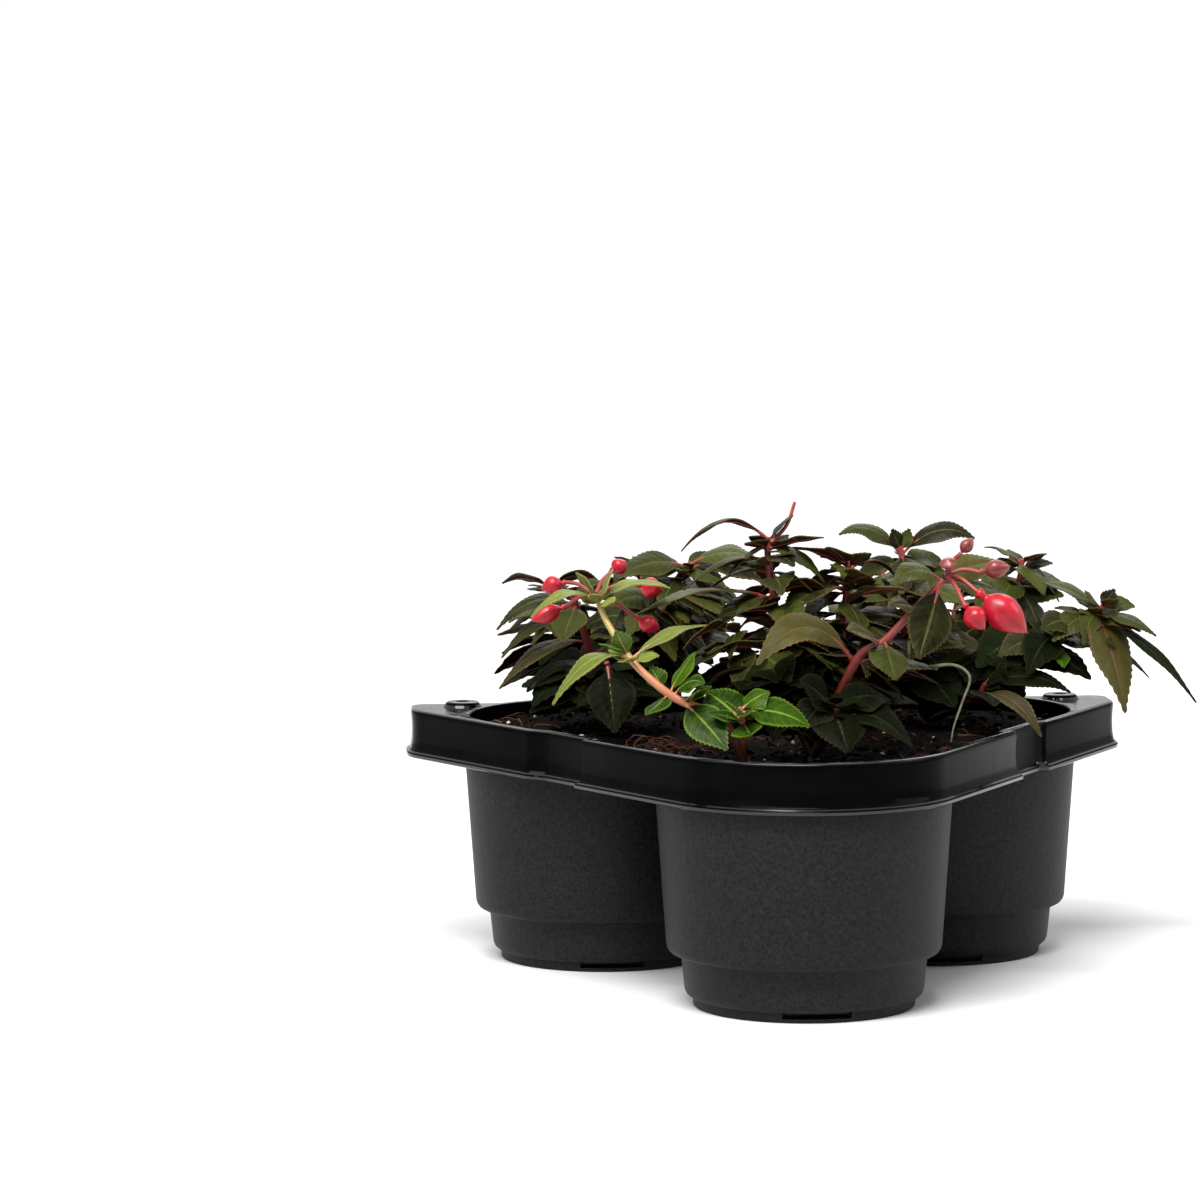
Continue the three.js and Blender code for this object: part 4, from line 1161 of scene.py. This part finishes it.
def hollow_ear(tray, s):
    """Hollows an ear from below and gives it its eyelet. s is -1 at the left and 1 at the right."""
    hollow = raise_outline("ear_hollow", EAR_HOLLOW, True)
    combine(hollow, block((s * EAR_BOX_X, EAR_BOX_Y, WEB_Z), EAR_BOX), "INTERSECT")
    combine(hollow, post("keep", s * RIGHT[0], RIGHT[1], 70, 95, RIM_R, 96), "DIFFERENCE")
    combine(tray, hollow, "DIFFERENCE")
    x, y = s * EYELET[0], EYELET[1]
    combine(tray, spin_profile("boss", EYELET_BOSS, x, y, 48), "UNION")
    combine(tray, post("eyelet", x, y, 80, 100, EYELET_R, 32), "DIFFERENCE")


def hollow_pot(tray, x, y):
    """Hollows a pot and cuts the drainage slots through its base ring."""
    combine(tray, spin_profile("inside", POT_INSIDE, x, y), "DIFFERENCE")
    for degrees in SLOT_TURNS:
        a = math.radians(degrees)
        centre = (x + SLOT_REACH * math.cos(a), y + SLOT_REACH * math.sin(a), SLOT_Z)
        combine(tray, block(centre, SLOT, a), "DIFFERENCE")


def finish_faces(tray):
    """Gives each face its finish: grained pots, polished rim, etched fields, bright edges."""
    for face in tray.data.polygons:
        z = face.center.z * 1000
        x, y = face.center.x * 1000 - ORIGIN[0], face.center.y * 1000 - ORIGIN[1]
        near = min(math.hypot(x - pot[0], y - pot[1]) for pot in POTS)
        on_rim = z > SKIRT_Z - 0.2 and (near > RIM_R + 0.1 or z > WEB_Z - 1.5)
        if SKIRT_Z + 2.8 < z < RIM_Z - 0.5 and in_label(x, y):
            face.material_index = ETCHED
        elif on_rim and (face.normal.z > 0.6 or z < SKIRT_Z + 0.9):
            face.material_index = EDGE
        else:
            face.material_index = POLISHED if on_rim else GRAINED


class FUCHSIA_OT_tray(bpy.types.Operator):
    """Models the three pots and their rim as one moulding"""

    bl_idname = "fuchsia.tray"
    bl_label = "Three-pot tray"

    def execute(self, context):
        settings = context.scene.fuchsia_tray
        tray = raise_outline("tray_moulding", SKIRT, True)
        combine(tray, raise_outline("underside", UNDERSIDE, True), "DIFFERENCE")
        for s in (-1, 1):
            hollow_ear(tray, s)
        for x, y in POTS:
            combine(tray, spin_profile("pot", POT_OUTSIDE, x, y), "UNION")
        combine(tray, raise_outline("opening", OPENING, False), "DIFFERENCE")
        for x, y in POTS:
            hollow_pot(tray, x, y)
        tray.data.materials.clear()
        tray.data.materials.append(pot_plastic(settings))
        tray.data.materials.append(rim_plastic(settings, "polypropylene_polished", 0.018))
        tray.data.materials.append(label_plastic(settings))
        tray.data.materials.append(rim_plastic(settings, "polypropylene_edge", 0.6))
        finish_faces(tray)
        smooth(tray, 32)
        hand_over(tray, "three_pot_tray")
        return {"FINISHED"}


# ---- soil ----
DOWN = Vector((0, 0, -1))
SKY = 95  # millimetres, a height over the rim, from which the surface is looked for
SPREAD_X, SPREAD_Y = (-112, 112), (-122, 88)  # the box round the rim's opening
SWELL_FOOT = 83.2  # millimetres, the height over which the surface is uneven
COMPOST, BARK, PERLITE = range(3)  # the soil's finishes, in the order of its materials
BIG_EVERY, WHITE_EVERY = 9, 17
FIBRES, ROOTS = 150, 22
HANGING_ROOT = ((-50.5, -43, 89), (-54, -44.5, 92.2), (-57.6, -46, 92.6), (-60.3, -47.4, 90.5))
HANGING_TIP = (-60.8, -47.8, 90.5)


def inside(point, ring):
    """Does the point lie inside the closed ring?"""
    x, y = point
    within = False
    for (x0, y0), (x1, y1) in zip(ring, ring[1:] + ring[:1]):
        if (y0 > y) != (y1 > y) and x < (x1 - x0) * (y - y0) / (y1 - y0) + x0:
            within = not within
    return within


def soil_surface(grain):
    """The layer that fills the rim, with a crumbly top."""
    top = raise_outline("soil_top", SOIL_TOP, False)
    finish_modifier(top, "REMESH", mode="VOXEL", voxel_size=grain)
    foot = SWELL_FOOT / 1000
    for vertex in top.data.vertices:
        if vertex.co.z > foot:
            p = vertex.co * 1000
            swell = noise.fractal(p / 26, 1.0, 2.0, 3) * 1.5 + noise.fractal(p / 4.5, 0.9, 2.0, 4)
            edge = min(max((vertex.co.z - foot) / (1.5 * MM), 0), 1)
            vertex.co.z += (0.2 + swell) * edge / 1000
    return top


def surface_spot(tree, edge, draw):
    """A drawn place on the soil, in millimetres of the model."""
    while True:
        x, y = draw(*SPREAD_X), draw(*SPREAD_Y)
        if inside((x, y), edge):
            hit = tree.ray_cast(at(x, y, SKY), DOWN)[0]
            if hit:
                return hit * 1000


def scatter_crumbs(count, spot, materials, draw):
    """Crumbs of compost and white perlite, each a ball turned, stretched and dented."""
    balls = []
    for subdivisions in (1, 2):
        deselect()
        bpy.ops.mesh.primitive_ico_sphere_add(subdivisions=subdivisions, radius=0.5)
        balls.append(bpy.context.object)
    points, faces, kinds = [], [], []
    for i in range(count):
        big, white = i % BIG_EVERY == 0, i % WHITE_EVERY == 3
        centre, size = spot(), (draw(2.4, 4.6) if big else draw(0.8, 2.3))
        if white:
            size = draw(1.0, 2.0)
        ball = balls[big].data
        turn = Matrix.Rotation(draw(0, FULL_TURN), 3, "Z") @ Matrix.Rotation(draw(0, 3.1), 3, "X")
        stretch = Vector((draw(0.7, 1.5), draw(0.6, 1.1), draw(0.5, 0.9)))
        start = len(points)
        for vertex in ball.vertices:
            p = turn @ Vector(a * b for a, b in zip(vertex.co, stretch)) * size
            p *= 1 + 0.25 * noise.noise(p * 0.9 + centre)
            points.append((centre + p + Vector((0, 0, size * 0.12))) / 1000)
        for face in ball.polygons:
            faces.append([start + k for k in face.vertices])
            kinds.append(PERLITE if white else COMPOST)
    mesh = bpy.data.meshes.new("crumbs")
    mesh.from_pydata(points, [], faces)
    for material in materials:
        mesh.materials.append(material)
    mesh.polygons.foreach_set("material_index", kinds)
    crumbs = bpy.data.objects.new("crumbs", mesh)
    bpy.context.collection.objects.link(crumbs)
    for ball in balls:
        bpy.data.objects.remove(ball, do_unlink=True)
    return crumbs


def bark_fibres(tree, spot, draw):
    """Lines of bark fibre that lie on the soil."""
    fibres = []
    for _ in range(FIBRES):
        start = spot()
        a, long = draw(0, FULL_TURN), draw(5, 15)
        line = []
        for k in range(6):
            t = k / 5
            wander = draw(-0.35, 0.35)
            x, y = start.x + long * t * math.cos(a) + wander, start.y + long * t * math.sin(a) - wander
            hit = tree.ray_cast(Vector((x, y, SKY)) / 1000, DOWN)[0]
            if hit is None:
                break
            z = hit.z * 1000 + 0.35 + 1.6 * t * (1 - t) * draw(0, 2)
            line.append(Vector((x - ORIGIN[0], y - ORIGIN[1], z)))
        if len(line) > 2:
            fibres.append((line, draw(0.25, 0.5), 0.15))
    return fibres


def root_tuft(draw):
    """A tuft of roots by the front left rim, and three that hang over it."""
    roots = []
    for _ in range(ROOTS):
        x, y = -46 + draw(-8, 8), -46 + draw(-14, 12)
        a, long, lift = draw(2.6, 5.4), draw(7, 14), draw(1.0, 3)
        line = []
        for t in (0, 0.2, 0.4, 0.6, 0.8, 1):
            bent = a + 0.5 * t
            z = SOIL_Z + 1.2 + 4 * lift * t * (1 - t) + 2.5 * t
            line.append(Vector((x + long * t * math.cos(bent), y + long * t * math.sin(bent), z)))
        roots.append((line, draw(0.3, 0.55), 0.12))
    for slide, drop in ((0.0, 5.0), (5.0, 3.0), (12.0, 7.0)):
        over = HANGING_ROOT + ((HANGING_TIP[0], HANGING_TIP[1], HANGING_TIP[2] - drop),)
        roots.append(([Vector((x + 0.5 * slide, y - 0.87 * slide, z)) for x, y, z in over], 0.4, 0.15))
    return roots


class FUCHSIA_OT_soil(bpy.types.Operator):
    """Fills the pots with compost and scatters crumbs, bark fibres and white grains"""

    bl_idname = "fuchsia.soil"
    bl_label = "Soil"

    def execute(self, context):
        settings = context.scene.fuchsia_tray
        draw = Draws(SOIL_SEED)
        top = soil_surface(settings.grain)
        faces = [face.vertices for face in top.data.polygons]
        tree = BVHTree.FromPolygons([vertex.co for vertex in top.data.vertices], faces)
        edge = outline(-LIP - 2.2, False)
        materials = (
            peat(settings), speckled("pine_bark_fibre", "#20110a", "#5c3826", 4, 0.85),
            speckled("perlite", "#8f8b83", "#c4c0b8", 1.5, 0.7),
        )

        def spot():
            return surface_spot(tree, edge, draw)

        crumbs = scatter_crumbs(settings.crumbs, spot, materials, draw)
        fibres = bark_fibres(tree, spot, draw) + root_tuft(draw)
        strands = tubes("fibres", fibres, materials[BARK], 1)
        balls = [spin_profile("root_ball", SOIL_BALL, x, y, 64) for x, y in POTS]
        for ob in [top] + balls:
            ob.data.materials.clear()
            ob.data.materials.append(materials[COMPOST])
        soil = join("soil_fill", [top] + balls + [crumbs, strands])
        smooth(soil, 60)
        hand_over(soil, "soil")
        return {"FINISHED"}


# ---- plants ----
# Leaf finishes: name, lamina, shade, vein, edge, roughness, wax, glow, and the sheen if it is less.
BLADES = {
    # Grown leaves: olive above under a thin wax, brown with red veins below.
    "dark": ("fuchsia_leaf_top", "#353c14", "#0e0d06", "#454620", "#4a3a20", 0.42, 0.03, 0.05),
    "dark_under": ("fuchsia_leaf_underside", "#40351b", "#231b0e", "#543022", "#463822", 0.6, 0.0, 0.05),
    # Grown leaves low in the bush, nearly black: painted shade for the little light that comes there.
    "deep": ("shaded_leaf_top", "#15200a", "#060803", "#1c260f", "#1f1c0e", 0.5, 0.0, 0.02, 0.03),
    "deep_under": (
        "shaded_leaf_underside", "#1a1409", "#080503", "#28120d", "#1a120b", 0.6, 0.0, 0.02, 0.03),
    # Leaves that sun and cold have bronzed, and wine red along the veins below.
    "bronze": ("bronzed_leaf_top", "#434016", "#26230d", "#57402a", "#544224", 0.45, 0.02, 0.06),
    "bronze_under": (
        "bronzed_leaf_underside", "#4c2a1b", "#301710", "#6a2b26", "#44221c", 0.55, 0.0, 0.06),
    # The low sprig's young leaves: fresh green with yellow veins.
    "bright": (
        "young_green_leaf_top", "#466408", "#122704", "#647e24", "#56701c", 0.38, 0.03, 0.08, 0.06),
    "bright_under": (
        "young_green_leaf_underside", "#52662e", "#394a1d", "#687a44", "#4e6a36", 0.55, 0.0, 0.08),
    # The pale shoot's long leaves: yellow-green, letting the most light through.
    "pale": ("pale_leaf_top", "#6a732e", "#4a561f", "#808444", "#888450", 0.44, 0.04, 0.1),
    "pale_under": ("pale_leaf_underside", "#7a7c40", "#5e6330", "#8c8a54", "#867648", 0.55, 0.0, 0.1),
}


def plant_materials(settings):
    """Every finish of the leaves, stems and buds, by kind."""
    materials = {kind: blade_material(*finish) for kind, finish in BLADES.items()}
    materials["stem"] = stem_material("crimson_stem", "#25110b", "#63201b", "#86332e")
    materials["pale_stem"] = stem_material("salmon_stem", "#3a1f14", "#a9684a", "#98904a")
    materials["dry"] = speckled("dry_stalk_fibre", "#3a3c2c", "#6a6c58", 3, 0.8)
    materials["bud"] = bud_material("waxy_sepals", "#7c0a18", opaque(settings.bud_red), "#b82638", "#c0606a")
    materials["young_bud"] = bud_material(
        "rosy_young_sepals", "#46201b", linear("#732f2c"), "#8c4a41", "#a37465")
    return materials


class FUCHSIA_OT_plants(bpy.types.Operator):
    """Grows the leafy shoots of the three plants and the pale shoot"""

    bl_idname = "fuchsia.plants"
    bl_label = "Plants"

    def execute(self, context):
        materials = plant_materials(context.scene.fuchsia_plant)
        same, own = Draws(LEAF_SEED), Draws(LOOK_SEED)
        templates = {size: blade_template(*size) for size in (LARGE, SMALL)}
        for name in SHOOTS:
            ruled = [rule_shoot(name, rule, same) for rule in RULE_SHOOTS.get(name, ())]
            make_plant(name, templates, materials, ruled, own)
        for template in templates.values():
            bpy.data.objects.remove(template, do_unlink=True)
        for name in BUDS:
            make_buds(name, materials)
        return {"FINISHED"}


class FUCHSIA_PT_panel(bpy.types.Panel):
    bl_idname = "FUCHSIA_PT_panel"
    bl_label = "Fuchsia three-pot tray"
    bl_space_type = "VIEW_3D"
    bl_region_type = "UI"
    bl_category = "Fuchsia"

    def draw(self, context):
        for group in (context.scene.fuchsia_stage, context.scene.fuchsia_tray, context.scene.fuchsia_plant):
            for key in group.__annotations__:
                self.layout.prop(group, key)
        for operator in OPERATORS:
            self.layout.operator(operator.bl_idname)


OPERATORS = (FUCHSIA_OT_stage, FUCHSIA_OT_tray, FUCHSIA_OT_soil, FUCHSIA_OT_plants)
CLASSES = (TraySettings, PlantSettings, StageSettings) + OPERATORS + (FUCHSIA_PT_panel,)


def register():
    for item in CLASSES:
        bpy.utils.register_class(item)
    bpy.types.Scene.fuchsia_tray = PointerProperty(type=TraySettings)
    bpy.types.Scene.fuchsia_plant = PointerProperty(type=PlantSettings)
    bpy.types.Scene.fuchsia_stage = PointerProperty(type=StageSettings)


def unregister():
    del bpy.types.Scene.fuchsia_stage
    del bpy.types.Scene.fuchsia_plant
    del bpy.types.Scene.fuchsia_tray
    for item in reversed(CLASSES):
        bpy.utils.unregister_class(item)


def main():
    register()
    bpy.ops.fuchsia.stage()
    bpy.ops.fuchsia.tray()
    bpy.ops.fuchsia.soil()
    bpy.ops.fuchsia.plants()
    deselect()


if __name__ == "__main__":
    main()
